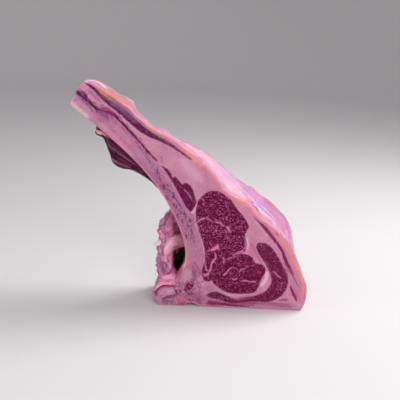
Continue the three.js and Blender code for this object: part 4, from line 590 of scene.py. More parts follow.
    ("crimson", 0.55, 2.4, 1.8, 0, False, 0.7, [(-152.4, 11.3, 273.7), (-146.6, 5.5, 272), (-141.6, 6, 267)]),
    ("dusk", 0.9, 3.9, 2.7, 0, False, 0.7, [(-145.9, 23.7, 261.2), (-138.6, 25.1, 253.6), (-127.5, 21.3, 244.7), (-115.2, 18.9, 234.1), (-102.9, 18.3, 223.3)]),
    ("light_mauve", 0.8, 3.9, 3.6, 0, False, 0.7, [(-146.2, 45.7, 248.1), (-141.7, 46.4, 240.3), (-130.4, 33.9, 236.3), (-117.2, 23.9, 229.8), (-103.3, 22.4, 219.8), (-89.5, 22.8, 208.7)]),
    ("dusk", 0.95, 5.1, 3, 0, False, 0.7, [(-142.4, 65.1, 226.8), (-133, 43.8, 227.8), (-122.8, 34.3, 225.3), (-111.2, 25.8, 221.5), (-98.9, 24.5, 215.1), (-84.6, 18.6, 206.8)]),
    ("plum", 0.6, 2.1, 2.1, 0, False, 0.7, [(-139.6, 46.7, 235.6), (-133.4, 41.1, 233.1), (-125.5, 30.9, 231.9)]),
    ("light_mauve", 0.95, 5.4, 3.3, 0, False, 0.7, [(-141, 67, 216.1), (-135.1, 62.8, 213.2), (-124.4, 50.8, 211.9), (-112.9, 44.7, 208.8), (-102.1, 62.9, 198.4), (-86.5, 45.2, 193.8)]),
    ("pink", 0.5, 2.1, 2.1, 0, False, 0.7, [(-138.6, 66.1, 212.3), (-130.3, 61.7, 209.4), (-119, 59, 205.7)]),
    ("plum3", 0.8, 2.4, 2.1, 0, False, 0.7, [(-132.7, 69.2, 204), (-126.2, 68.1, 201.9)]),
    # Painted shade: brown, and a darker ink line nearer the rib, in the shallow recess beside the rib.
    ("brown", 0.6, 9, 6, 0, False, 0.7, [(-39.9, 38.2, 123.1), (-36.1, 44.8, 111.2), (-32.7, 44.9, 103)]),
    ("ink", 0.5, 2.1, 2.4, 0, False, 0.7, [(-35.8, 41.6, 127.1), (-31.5, 46.2, 114.2), (-28.7, 47.1, 103.4)]),
    ("tan", 0.6, 3.6, 3, 0, False, 0.7, [(-41.3, 35.3, 122.3), (-39.6, 37.6, 111.8)]),
    ("crimson", 0.5, 2.4, 2.1, 0, False, 0.7, [(-38.9, 38.6, 119.7), (-39.3, 37.9, 113.3)]),
    ("lavender", 0.4, 4.5, 3.6, 0, False, 0.7, [(-45, 30.3, 92.5), (-39.9, 33.7, 97.2), (-33.9, 37.4, 99.5)]),
    ("milk", 0.4, 4.5, 3.6, 0, False, 0.7, [(-47.4, 30, 90.9), (-44.5, 31.5, 94.4)]),
    ("tan", 0.45, 3.9, 3, 0, False, 0.7, [(-32.2, 35.8, 97.8), (-31, 33.5, 92), (-32.7, 34.3, 85)]),
    ("milk", 0.35, 4.5, 3.9, 0, False, 0.7, [(-52.5, 28.7, 81.2), (-50.1, 28.2, 77.1)]),
    ("tan", 0.6, 3.9, 3, 0, False, 0.7, [(-35.4, 32.8, 83.7), (-34.9, 62.5, 68.8)]),
    ("crimson", 0.6, 2.7, 2.1, 0, False, 0.7, [(-39.4, 31.9, 79.5), (-38.2, 47.7, 70.5)]),
    ("rose_lite", 0.5, 5.1, 3.6, 0, False, 0.7, [(-44.6, 32.5, 71.7), (-42, 28.4, 65.7)]),
    ("beige", 0.85, 4.5, 3, 0, False, 0.7, [(-41, 28.7, 64.9), (-39.9, 28.7, 56.6), (-37.4, 27.7, 48.6), (-35.4, 19.7, 45.1)]),
    # Painted shade: near-black strokes fill the deep hole beside the rib.
    ("black", 0.9, 0.2, 3, 0, False, 0.7, [(-22.8, 63.1, 71.8), (-27.5, 62.9, 70), (-32.2, 62.2, 63.1), (-33.5, 60.7, 55.1), (-34.5, 48, 51.2), (-32.9, 35, 48.4), (-27.7, 39.5, 48.9), (-23.5, 55.4, 52.3), (-22.4, 62.6, 60)]),
    ("black", 0.97, 9, 3.6, 0, False, 0.7, [(-25.2, 62.8, 67.7), (-27.8, 62.1, 58.9), (-30, 55.3, 52.7), (-31.1, 44.2, 50)]),
    ("lavender", 0.6, 6, 4.5, 0, False, 0.7, [(-53.9, 30.5, 70.5), (-52.1, 30.7, 60.4), (-51.1, 28.5, 51.2)]),
    ("purple", 0.7, 2.4, 1.8, 0, False, 0.7, [(-59.2, 36.6, 83.1), (-57.7, 32.4, 80.3)]),
    ("wine", 0.7, 2.1, 1.8, 0, False, 0.7, [(-49.8, 31.2, 57.6), (-47.9, 25.2, 57.6)]),
    ("wine", 0.8, 2.7, 2, -0.6, False, 0.7, [(-55.8, 37.7, 54.2), (-54.9, 29.9, 48.8), (-53.1, 22.3, 45)]),
    ("hot_pink", 0.9, 4.5, 2.7, 0, False, 0.7, [(-61.4, 37, 49.2), (-60.2, 36.6, 40.9), (-56.8, 23.9, 38.2)]),
    ("wine", 0.7, 1.8, 1.5, 0, False, 0.7, [(-50.2, 15.8, 43.4), (-44.6, 16.3, 45.1)]),
    ("wine", 0.6, 2.1, 1.8, 0, False, 0.7, [(-54.5, 65.3, 124.6), (-53, 54.1, 125.1)]),
    ("wine", 0.7, 2.1, 1.8, 0, False, 0.7, [(-51.8, 50.7, 122.6), (-50.4, 51.9, 124.9)]),
    ("wine", 0.6, 1.8, 1.8, 0, False, 0.7, [(-59.7, 59.8, 111), (-55.6, 52.7, 115.5)]),
    ("mauve", 0.5, 7.5, 6, 0, False, 0.7, [(-52.3, 48, 121.1), (-53.2, 40.1, 110.4)]),
    ("wine", 0.55, 1.8, 1.8, 0, False, 0.7, [(-51.6, 36.2, 93.5), (-51.3, 46.3, 97.4), (-47.4, 42.1, 103.3)]),
    ("rose", 0.6, 4.5, 3.6, 0, False, 0.7, [(-43.2, 39.3, 129.2), (-39.9, 45.9, 132.2)]),
    # Painted light: light pink over the shaded top wall of the chine.
    ("bright", 0.9, 7.5, 4.5, 0, False, 0.34, [(-57.5, 9, 38.4), (-50.1, 14.1, 40.7), (-42.2, 13.1, 41.4), (-35.7, 7.7, 41.5)]),
    # Painted light: hot pink painted lighter on the shaded side wall of the hole.
    ("shade_pink", 0.85, 4.5, 3, 0, False, 0.34, [(-20.1, 0.2, 67.2), (-24.7, 18.6, 56), (-27.7, 20.9, 49.3), (-30.3, 10.4, 45.6)]),
    ("salmon", 0.8, 2.1, 1.8, 0.6, False, 0.34, [(-20.8, 1.1, 68.8), (-26, 34.4, 51.9), (-29.3, 32.5, 47.8)]),
    ("wine", 0.85, 1.8, 1.8, 0, False, 0.34, [(-32.7, 29.3, 47.2), (-33.3, 21.5, 45.2)]),
    # Painted shade: more near black in the deep hole.
    ("black", 0.97, 6, 2.4, 0, False, 0.7, [(-25, 63, 70.7), (-29.3, 62.5, 65.6), (-32.7, 61.9, 58.1), (-34.8, 54, 52.3), (-33.9, 41.4, 49.6)]),
    # Painted highlights: light pink on the lobes.
    ("bright", 0.6, 4.5, 3.6, 0, False, 0.7, [(-59.2, 34.7, 44.4), (-57.8, 28.3, 40.8)]),
    ("bright", 0.5, 4.5, 3.6, 0, False, 0.7, [(-45.5, 15.7, 42.9), (-39.4, 17.3, 44.9)]),
    # Painted light: light pink over a torn piece on the shaded side of the hole.
    ("bright", 0.95, 5.4, 3, 0.6, False, 0.34, [(-20.5, 0.7, 69), (-24.8, 22.7, 55.4), (-27.5, 23.8, 50.2)]),
    ("wine2", 0.85, 2, 2, -0.5, False, 0.7, [(-50.9, 45.6, 97.7), (-52, 38.4, 94.4), (-51.3, 32.2, 90.6)]),
    ("wine2", 0.8, 2.1, 2.1, -0.6, False, 0.7, [(-61.8, 50, 89.4), (-59.7, 38, 83.2)]),
    ("wine2", 0.7, 2.1, 2.1, -0.6, False, 0.7, [(-58.8, 33.2, 73.3), (-60.8, 45.2, 60)]),
    ("wine2", 0.7, 2.1, 2.1, -0.6, False, 0.7, [(-53.3, 30.1, 60.9), (-54.6, 28.9, 50.9), (-52.4, 20.1, 45.2)]),
    ("crim2", 0.8, 2.1, 2, -0.4, False, 0.7, [(-50.9, 16.2, 44.2), (-45, 16.6, 47), (-40.1, 18.2, 48.5)]),
    ("wine2", 0.8, 2.4, 2.1, -0.6, False, 0.7, [(-59.3, 63.2, 122), (-55.9, 67.2, 124.1)]),
    ("wine2", 0.75, 2.4, 2.1, -0.6, False, 0.7, [(-52.8, 51.5, 123.3), (-48.9, 45.7, 128.2)]),
    ("wine2", 0.75, 2, 2, -0.6, False, 0.7, [(-61.6, 65.5, 109.5), (-54.9, 46.3, 117.2)]),
    ("purple", 0.5, 6, 4.5, 0, False, 0.7, [(-54.6, 66.5, 125.9), (-51.3, 54.8, 131.6), (-46.5, 53.5, 133.5)]),
    # Painted highlights: light pink on the lobes and the head.
    ("bright", 0.5, 4.5, 3.9, 0, False, 0.7, [(-60.3, 51.6, 105.3), (-59.1, 50.1, 96.8)]),
    ("bright", 0.45, 4.5, 3.9, 0, False, 0.7, [(-51.9, 43.6, 116.6), (-48.3, 37.9, 109.6)]),
    ("bright", 0.5, 3.9, 3.3, 0, False, 0.7, [(-62.1, 48.3, 53.4), (-61.3, 41, 51)]),
    ("mauve", 0.5, 4.5, 3.9, 0, False, 0.7, [(-55.7, 30.8, 80.3), (-54.8, 30.9, 70.3)]),
    ("cream", 0.45, 4.5, 3.9, 0, False, 0.7, [(-44.5, 31.5, 94.4), (-40.6, 34.5, 97.9)]),
    ("tan", 0.7, 3, 2.7, 0, False, 0.7, [(-34.6, 34.9, 97.3), (-32.5, 32.7, 91.2), (-33.6, 37.1, 81.3)]),
    ("tan", 0.8, 3, 2.2, 0, False, 0.7, [(-38.9, 38.6, 63), (-38.9, 35.6, 55.7), (-36.5, 29.7, 48.6)]),
    ("tan_shade", 0.96, 4.5, 1.8, 0, False, 0.7, [(-37, 31, 85.6), (-30.9, 35.8, 84.5)]),
    ("tan_shade", 0.96, 4.5, 1.8, 0, False, 0.7, [(-37.3, 34, 79.9), (-34.3, 62.6, 69.8)]),
    ("tan_shade", 0.96, 2.7, 1.8, 0, False, 0.7, [(-38.5, 46.7, 69.5), (-36.9, 56.9, 66.2)]),
    # Painted shade: near black at the lower end of the hole.
    ("black", 0.95, 4.5, 2.4, 0, False, 0.7, [(-33.3, 43.8, 50.1), (-31.5, 31.9, 47.6)]),
    ("tan", 0.8, 1.8, 1.5, 0.3, False, 0.7, [(-31.8, 62.8, 70.5), (-34.8, 62.2, 64.7), (-36.9, 52.8, 61.2), (-38.2, 40.7, 57.9)]),
    ("plum", 0.7, 1.5, 1.5, -0.5, False, 0.7, [(-52.9, 37.4, 93.1), (-53.4, 31.6, 87.4), (-55, 30.3, 80.5), (-53.9, 29.7, 72.4)]),
    ("plum", 0.6, 1.5, 1.5, -0.4, False, 0.7, [(-50.3, 39.7, 96.7), (-45.6, 38.4, 101), (-38.9, 42, 102.1)]),
    ("purple", 0.55, 3, 2.4, 0, False, 0.7, [(-59.8, 48, 89.8), (-56.2, 32.1, 83.1), (-57.1, 32.4, 69.6)]),
    ("purple", 0.5, 3, 2.4, 0, False, 0.7, [(-60.6, 36.7, 72.9), (-59.1, 43.6, 60.3), (-59, 38.3, 52.8)]),
    # Painted highlights: light pink on the lobes.
    ("bright", 0.55, 2.4, 2.1, 0, False, 0.7, [(-51.3, 31.8, 90.1), (-48.7, 28.1, 84.2)]),
    ("bright", 0.5, 2.4, 2.1, 0, False, 0.7, [(-56.5, 56.4, 120), (-58.9, 58, 111)]),
    ("bright", 0.5, 2.4, 2.1, 0, False, 0.7, [(-42.8, 30.6, 93.2), (-38.5, 35.3, 98.3)]),
    ("cream", 0.4, 3.6, 3, 0, False, 0.7, [(-48.2, 28.6, 88), (-44.6, 29.4, 77.9)]),
    # Painted highlight: light pink along the chine ridge on the cut.
    ("bright", 0.5, 3.3, 2.7, 0.6, False, 1, [(-56, 0, 34.8), (-47.7, 0, 40.1), (-38.4, 0, 39.8)]),
    ("red", 0.6, 1.8, 1.5, -0.6, False, 1, [(-55.3, 0, 30.8), (-46, 0, 34.5), (-35.2, 0, 33.6)]),
    ("purple", 0.45, 7.5, 6, 0, False, 0.7, [(-60.1, 46.8, 54), (-52.7, 28.6, 51), (-45.6, 16.1, 47.8)]),
    ("mauve", 0.5, 7.5, 6, 0, False, 0.7, [(-62, 36.3, 68), (-59.5, 36.3, 51.2), (-51.9, 17.7, 45.2)]),
    ("wine2", 0.6, 2.4, 2.1, -0.5, False, 0.7, [(-62.1, 39.9, 46.3), (-56.4, 30.7, 44)]),
    ("wine2", 0.6, 2.4, 2.1, -0.5, False, 0.7, [(-48.6, 27.6, 55), (-43.3, 17.8, 51.2)]),
    ("hot_pink", 0.6, 2.4, 2.1, 0, False, 0.7, [(-62.9, 52.4, 46.6), (-61.3, 37, 44.7), (-57.8, 28.5, 40)]),
    ("beige", 0.5, 7.5, 6, 0, False, 0.7, [(-40.7, 35.6, 122.2), (-37.6, 42.3, 111.9)]),
    ("hot_rose", 0.5, 3, 2.7, 0, False, 0.7, [(-41.3, 34.7, 121.5), (-38.4, 40.3, 110.9)]),
    ("plum", 0.8, 1.5, 1, -0.7, False, 0.7, [(-57.5, 60.5, 114.3), (-53.9, 54.1, 120.8), (-50.6, 51.5, 124.4)]),
    ("plum", 0.8, 1.5, 1, -0.7, False, 0.7, [(-55.7, 66.8, 124.1), (-53.5, 56.8, 126.3)]),
    ("plum", 0.8, 1.5, 1, -0.7, False, 0.7, [(-50, 50.2, 128.1), (-47.7, 52.3, 130.5)]),
    ("plum", 0.8, 1.5, 1, -0.7, False, 0.7, [(-60.9, 61.4, 110.6), (-54.7, 45.5, 117.2)]),
    ("plum", 0.8, 1.5, 1, -0.7, False, 0.7, [(-61.4, 45, 86.2), (-57.5, 41.4, 89.1), (-53.5, 35.2, 91.5)]),
    ("plum", 0.8, 1.5, 1, -0.7, False, 0.7, [(-62.4, 55.6, 75.2), (-54.3, 31.5, 85.7)]),
    ("plum", 0.8, 1.5, 1, -0.7, False, 0.7, [(-62.4, 46.1, 68.8), (-55.8, 30.9, 71.6)]),
    ("plum", 0.8, 1.5, 1, -0.7, False, 0.7, [(-62.2, 50.5, 50.8), (-57.7, 42.2, 55.8)]),
    ("plum", 0.8, 1.5, 1, -0.7, False, 0.7, [(-54.4, 38.4, 55.8), (-50, 30.2, 55.9)]),
    ("plum", 0.8, 1.5, 1, -0.7, False, 0.7, [(-55.5, 28.8, 51.2), (-53.2, 24.4, 45.2), (-54.1, 18.1, 41.6)]),
    ("plum", 0.8, 1.5, 1, -0.7, False, 0.7, [(-51.2, 16.6, 44.7), (-44.1, 17.2, 47.7), (-37.2, 24.3, 46.9)]),
    ("plum", 0.8, 1.5, 1, -0.7, False, 0.7, [(-47.1, 30.4, 71.7), (-47.3, 29.8, 65.9), (-43.6, 23.6, 62)]),
    # Painted highlights: small light pink spots on raised lobes.
    ("bright", 0.75, 2.1, 1.5, 0.5, False, 0.7, [(-60.7, 52.1, 105.5), (-58.3, 48.2, 100.8)]),
    ("bright", 0.75, 2.1, 1.5, 0.5, False, 0.7, [(-56.7, 48.6, 94.1), (-56.9, 41.7, 90.1)]),
    ("bright", 0.75, 2.1, 1.5, 0.5, False, 0.7, [(-50.8, 44.4, 121.7), (-47.5, 36.2, 118.5)]),
    ("bright", 0.75, 2.1, 1.5, 0.5, False, 0.7, [(-60.9, 46.2, 61.7), (-60.5, 46.7, 56.7)]),
    ("bright", 0.75, 2.1, 1.5, 0.5, False, 0.7, [(-59.2, 33, 48.4), (-57.5, 30.8, 42.2)]),
    ("bright", 0.75, 2.1, 1.5, 0.5, False, 0.7, [(-52.2, 30.7, 68.1), (-50, 26.6, 63.7)]),
    ("bright", 0.75, 2.1, 1.5, 0.5, False, 0.7, [(-49.3, 23.9, 52), (-44.9, 17.1, 51.7)]),
    ("glint", 0.6, 2.4, 1.8, 0.2, False, 0.7, [(-42.2, 30.2, 92.3), (-47.9, 28.5, 87.7), (-51.5, 28.4, 81.3)]),
    ("glint", 0.5, 1.5, 1.4, 0.2, False, 0.7, [(-44.1, 35.4, 97.8), (-38, 37.2, 99.7)]),
    ("sal2", 0.85, 2, 1.4, 0.4, False, 0.7, [(-45.1, 32.4, 68.4), (-41.8, 26.2, 64.2), (-40.1, 27.3, 57.5), (-37.3, 31.5, 49.6)]),
    ("sal2", 0.5, 1.5, 1.2, 0.3, False, 0.7, [(-42.9, 33.5, 69.1), (-40.8, 29.6, 65.3)]),
    ("grey_pink", 0.5, 3, 2.4, 0, False, 0.7, [(-32.5, 36, 98), (-28.3, 39.8, 99.9)]),
    ("hot_rose", 0.6, 2.1, 1.7, 0, False, 0.7, [(-40.3, 31.2, 79.8), (-38.2, 47.4, 71)]),
    ("fold", 0.7, 1.7, 1.2, 0.5, False, 0.7, [(-61.2, 37.4, 50), (-60.2, 35.7, 43.9), (-56.5, 23.5, 40.4)]),
]
PAINT = [(COLOURS[c], *rest) for c, *rest in PAINT]
PORES = [((0, 0, 0), 1, 14, 12, 0, False, 1, [(-76, 0, 224.1), (-66.8, 0, 209.1), (-57.5, 0, 194.1), (-48.3, 0, 183.6), (-39, 0, 171.5), (-26.4, 0, 151.6), (-16.5, 0, 128.3), (-11.4, 0, 109.2)])]


# ---- curves -----------------------------------------------------------------------------------
def spline(rows, closed, step):
    """Centripetal Catmull-Rom curve through rows of any length; the first two numbers set the knots."""
    rows = [np.array(r, float) for r in rows]
    n = len(rows)
    at = (lambda i: rows[i % n]) if closed else (lambda i: rows[min(n - 1, max(0, i))])
    out = []
    for i in range(n if closed else n - 1):
        p1, p2 = at(i), at(i + 1)
        p0 = 2 * p1 - p2 if not closed and i == 0 else at(i - 1)
        p3 = 2 * p2 - p1 if not closed and i == n - 2 else at(i + 2)
        knot = lambda a, b: max(1e-3, math.hypot(*(a - b)[:2]) ** 0.5)
        t1 = knot(p0, p1)
        t2 = t1 + knot(p1, p2)
        t3 = t2 + knot(p2, p3)
        count = max(1, math.ceil(math.hypot(*(p2 - p1)[:2]) / step))
        for j in range(count):
            t = t1 + (t2 - t1) * j / count
            a1 = ((t1 - t) * p0 + t * p1) / t1
            a2 = ((t2 - t) * p1 + (t - t1) * p2) / (t2 - t1)
            a3 = ((t3 - t) * p2 + (t - t2) * p3) / (t3 - t2)
            b1 = ((t2 - t) * a1 + t * a2) / t2
            b2 = ((t3 - t) * a2 + (t - t1) * a3) / (t3 - t1)
            out.append(((t2 - t) * b1 + (t - t1) * b2) / (t2 - t1))
    if not closed:
        out.append(rows[-1].copy())
    return np.array(out)


def band(rows, step):
    """Outline of a band: its middle line with half the width on either side."""
    mid = spline(rows, False, step)
    d = np.empty((len(mid), 2))
    d[1:-1] = mid[2:, :2] - mid[:-2, :2]
    d[0], d[-1] = mid[1, :2] - mid[0, :2], mid[-1, :2] - mid[-2, :2]
    d /= np.linalg.norm(d, axis=1)[:, None]
    nrm = np.stack([-d[:, 1], d[:, 0]], 1) * mid[:, 2:3] / 2
    return np.concatenate([mid[:, :2] + nrm, (mid[:, :2] - nrm)[::-1]])


def resample(pts, step, closed):
    """The same polyline with points an even step apart."""
    p = np.concatenate([pts, pts[:1]]) if closed else pts
    s = np.concatenate([[0], np.cumsum(np.linalg.norm(np.diff(p[:, :2], axis=0), axis=1))])
    m = max(2, int(round(s[-1] / step)))
    t = np.linspace(0, s[-1], m + 1)
    out = np.stack([np.interp(t, s, p[:, k]) for k in range(p.shape[1])], 1)
    return out[:-1] if closed else out


def area(p):
    q = np.roll(p, -1, axis=0)
    return float(np.sum(p[:, 0] * q[:, 1] - q[:, 0] * p[:, 1]) / 2)


def inside(P, poly):
    """Which points of P lie in the polygon."""
    x, z = P[:, 0], P[:, 1]
    hit = np.zeros(len(P), bool)
    a, b = poly, np.roll(poly, -1, axis=0)
    for (ax, az), (bx, bz) in zip(a, b):
        if az != bz:
            cross = (az > z) != (bz > z)
            hit ^= cross & (x < (bx - ax) * (z - az) / (bz - az) + ax)
    return hit


def seg_distance(P, pts):
    """Distance of each point of P to a polyline, and the place along it in points."""
    best = np.full(len(P), 1e9)
    where = np.zeros(len(P))
    for i in range(len(pts) - 1):
        a, d = pts[i], pts[i + 1] - pts[i]
        t = np.clip(((P - a) @ d) / max(1e-9, float(d @ d)), 0, 1)
        e = np.linalg.norm(P - a - t[:, None] * d, axis=1)
        near = e < best
        best[near] = e[near]
        where[near] = i + t[near]
    return best, where


def smooth01(x):
    x = np.clip(x, 0, 1)
    return x * x * (3 - 2 * x)


# ---- noise for shapes ---------------------------------------------------------------------------
_G = np.random.default_rng(11).normal(size=(256, 3))
_G /= np.linalg.norm(_G, axis=1)[:, None]


def _hash(I, seed):
    h = I[:, 0] * 73856093 ^ I[:, 1] * 19349663 ^ I[:, 2] * 83492791 ^ (seed * 2654435761 & 0xFFFFFFFF)
    h = (h ^ (h >> 13)) * 1274126177 & 0xFFFFFFFF
    return (h ^ (h >> 16)) & 0xFFFFFFFF


def perlin(P, seed=0):
    """Gradient noise, about -1 to 1."""
    P = np.asarray(P, float)
    I = np.floor(P).astype(np.int64)
    f = P - I
    u = f * f * f * (f * (f * 6 - 15) + 10)
    out = np.zeros(len(P))
    for dx in (0, 1):
        for dy in (0, 1):
            for dz in (0, 1):
                o = np.array([dx, dy, dz])
                g = _G[_hash(I + o, seed) & 255]
                w = np.prod(np.where(o == 1, u, 1 - u), axis=1)
                out += w * np.sum((f - o) * g, axis=1)
    return out * 1.7


def cells(P, seed=0):
    """Distances to the nearest and second nearest cell point."""
    P = np.asarray(P, float)
    I = np.floor(P).astype(np.int64)
    f1 = np.full(len(P), 9.0)
    f2 = np.full(len(P), 9.0)
    for dx in (-1, 0, 1):
        for dy in (-1, 0, 1):
            for dz in (-1, 0, 1):
                J = I + np.array([dx, dy, dz])
                h = _hash(J, seed)
                q = J + np.stack([(h & 1023) / 1023, (h >> 10 & 1023) / 1023, (h >> 20 & 1023) / 1023], 1)
                d = np.linalg.norm(P - q, axis=1)
                far = d >= f1
                f2 = np.where(far, np.minimum(f2, d), f1)
                f1 = np.where(far, f1, d)
    return f1, f2


# ---- the slice: outlines, warp, rim ---------------------------------------------------------------
RIM_A = np.array(RIM, float)


def warp(P, s):
    """Moves points (x, z) of the front cut to depth s (0 front, 1 back; a number or one for each point)."""
    P = np.asarray(P, float)
    sum_ = np.zeros(len(P))
    dx = np.zeros(len(P))
    dz = np.zeros(len(P))
    for cx, cz, ex, ez in RIM_A[:, :4]:
        w = 1 / ((P[:, 0] - cx) ** 2 + (P[:, 1] - cz) ** 2 + SOFT * SOFT) ** 2
        sum_ += w
        dx += w * ex
        dz += w * ez
    k = smooth01(P[:, 1] / BASE_LIFT)
    return np.stack([P[:, 0] + s * dx / sum_, P[:, 1] + s * dz * k / sum_], 1)


rim = spline(RIM, True, STEP)
if area(rim[:, :2]) < 0:
    rim = rim[::-1]
rim = resample(rim, STEP, True)
rim[:, 1] = np.maximum(rim[:, 1], 0)


def outward(p, blur):
    """Outward unit normals of a closed anticlockwise outline, smoothed over a few points."""
    d = np.roll(p, -1, axis=0) - np.roll(p, 1, axis=0)
    n = np.stack([d[:, 1], -d[:, 0]], 1)
    for _ in range(blur):
        n = (np.roll(n, 1, axis=0) + 2 * n + np.roll(n, -1, axis=0)) / 4
    return n / np.linalg.norm(n, axis=1)[:, None]


rim_normal = outward(rim[:, :2], 3)
inner = rim[:, :2] - rim_normal * rim[:, 4:5]          # outline of the flat part of the cut
inner[:, 1] = np.maximum(inner[:, 1], 0.4)

muscle_lines = {
    "eye_muscle": spline(EYE, True, STEP), "deep_muscle": spline(DEEP, True, STEP), "cap_muscle": band(CAP, STEP),
    "rib_muscle": spline(RIB_MUSCLE, True, STEP), "flank_muscle_band": band(FLANK_BAND, STEP),
    "rim_muscle_strip": band(RIM_STRIP, STEP), "low_muscle_strip": band(LOW_STRIP, STEP),
    "base_muscle_strip": band(BASE_STRIP, STEP), "rib_muscle_streak": band(RIB_STREAK, STEP),
    "chine_muscle": spline(CHINE_SPOT, True, STEP),
}
bone_lines = {
    "rib_bone": np.concatenate([spline(RIB_INNER, False, STEP), np.array(RIB_OUTER, float)]),
    "chine_bone": np.array(CHINE, float),
}
RAGGED = {"eye_muscle": 0.5, "deep_muscle": 0.6, "cap_muscle": 0.6, "flank_muscle_band": 0.8, "rib_muscle_streak": 0.9,
          "chine_muscle": 0.7, "rim_muscle_strip": 0.4, "rib_muscle": 0.3, "base_muscle_strip": 0.5}
regions = {}
for name, line in {**muscle_lines, **bone_lines}.items():
    line = resample(line, STEP, True)
    if area(line) < 0:
        line = line[::-1]
    wob = RAGGED.get(name, 0.25)
    n = outward(line, 1)
    at = np.stack([line[:, 0] / 4.2, line[:, 1] / 4.2, np.full(len(line), 3.3)], 1)
    line = line + n * (wob * (perlin(at, 3) + 0.6 * perlin(at * 2.3, 4)))[:, None]
    regions[name] = line
names = ["fat_body"] + list(regions)

# Points and constraints of the triangulation.
points, edges = [inner], []
edges += [(i, (i + 1) % len(inner)) for i in range(len(inner))]
count = len(inner)
for line in regions.values():
    points.append(line)
    edges += [(count + i, count + (i + 1) % len(line)) for i in range(len(line))]
    count += len(line)
for kind, alpha, width, soft, lift, closed, depth, line in PAINT:
    if width <= 3.2 and not closed and all(abs(p[1]) < 1e-6 for p in line):
        q = resample(spline([(p[0], p[2]) for p in line], False, STEP), STEP, False)
        points.append(q)
        edges += [(count + i, count + i + 1) for i in range(len(q) - 1)]
        count += len(q)
fixed = np.concatenate(points)
lo, hi = inner.min(0), inner.max(0)
gx, gz = np.meshgrid(np.arange(lo[0], hi[0], STEP), np.arange(lo[1], hi[1], STEP * 0.866))
gx[1::2] += STEP / 2
grid = np.stack([gx.ravel(), gz.ravel()], 1) + rng.uniform(-0.22, 0.22, (gx.size, 2)) * STEP
grid = grid[inside(grid, inner)]
# Grid points too near a constraint are left out: look in the 3 x 3 buckets round each.
cell = STEP
bucket = {}
for i, (x, z) in enumerate(fixed):
    bucket.setdefault((int(x // cell), int(z // cell)), []).append(i)
keep = np.ones(len(grid), bool)
limit = (0.62 * STEP) ** 2
for g, (x, z) in enumerate(grid):
    cx, cz = int(x // cell), int(z // cell)
    for ix in (cx - 1, cx, cx + 1):
        for iz in (cz - 1, cz, cz + 1):
            for i in bucket.get((ix, iz), ()):
                if (fixed[i][0] - x) ** 2 + (fixed[i][1] - z) ** 2 < limit:
                    keep[g] = False
                    break
allpts = np.concatenate([fixed, grid[keep]])
verts, _, faces, *_ = delaunay_2d_cdt([Vector(p) for p in allpts], edges, [], 0, 1e-4)
V = np.array([tuple(v) for v in verts])
T = np.array([f for f in faces if len(f) == 3])
centre = V[T].mean(axis=1)
a_, b_, c_ = V[T[:, 0]], V[T[:, 1]], V[T[:, 2]]
cross = (b_[:, 0] - a_[:, 0]) * (c_[:, 1] - a_[:, 1]) - (b_[:, 1] - a_[:, 1]) * (c_[:, 0] - a_[:, 0])
T[cross < 0] = T[cross < 0][:, ::-1]
good = inside(centre, inner) & (np.abs(cross) > 1e-7)
T, centre = T[good], centre[good]
region = np.zeros(len(T), int)
free = np.ones(len(T), bool)
for k, name in enumerate(names[1:], 1):
    hit = free & inside(centre, regions[name])
    region[hit] = k
    free &= ~hit
used = np.unique(T)
remap = np.full(len(V), -1)
remap[used] = np.arange(len(used))
V, T = V[used], remap[T]
N = len(V)

# Distance of every point to the nearest border between two regions, and to the outer outline.
edge_owner = {}
for t, (tri, r) in enumerate(zip(T.tolist(), region.tolist())):
    for a, b in ((tri[0], tri[1]), (tri[1], tri[2]), (tri[2], tri[0])):
        edge_owner.setdefault((a, b) if a < b else (b, a), []).append((t, r, a, b))
rim_edges, seam_edges = [], []
for own in edge_owner.values():
    if len(own) == 1:
        rim_edges.append(own[0])
    elif own[0][1] != own[1][1]:
        seam_edges += own
seam_pts = V[np.unique([e[2:] for e in seam_edges])]


def nearest(P, Q, chunk=4000):
    out = np.empty(len(P))
    q2 = (Q ** 2).sum(1)
    for i in range(0, len(P), chunk):
        p = P[i:i + chunk]
        d = (p ** 2).sum(1)[:, None] + q2[None] - 2 * p @ Q.T
        out[i:i + chunk] = np.sqrt(np.maximum(0, d.min(1)))
    return out


seam = nearest(V, seam_pts)
rimd = nearest(V, V[np.unique([e[2:] for e in rim_edges])])

# The outer border of the cut as one loop.
follow = {a: b for _, _, a, b in rim_edges}
rim_region = {a: r for _, r, a, b in rim_edges}
start = rim_edges[0][2]
loop = [start]
while follow[loop[-1]] != start and len(loop) <= len(rim_edges):
    loop.append(follow[loop[-1]])
loop = np.array(loop)
assert len(loop) == len(rim_edges), "the border of the cut is one closed loop"
L2 = V[loop]

# Each border point's place on the outer outline gives its rounding, crown and arc length.
_, place = seg_distance(L2, np.concatenate([inner, inner[:1]]))
i0 = np.floor(place).astype(int) % len(rim)
frac = (place - np.floor(place))[:, None]
row = rim[i0] * (1 - frac) + rim[(i0 + 1) % len(rim)] * frac
rounding, crown = row[:, 4], row[:, 5]
arc = np.concatenate([[0], np.cumsum(np.linalg.norm(np.diff(L2, axis=0), axis=1))])
nrm = rim_normal[i0] * (1 - frac) + rim_normal[(i0 + 1) % len(rim)] * frac
nrm /= np.linalg.norm(nrm, axis=1)[:, None]


# ---- painted details ---------------------------------------------------------------------------------
def linear(c):
    c = np.array(c, float) / 255
    return np.where(c <= 0.04045, c / 12.92, ((c + 0.055) / 1.055) ** 2.4)


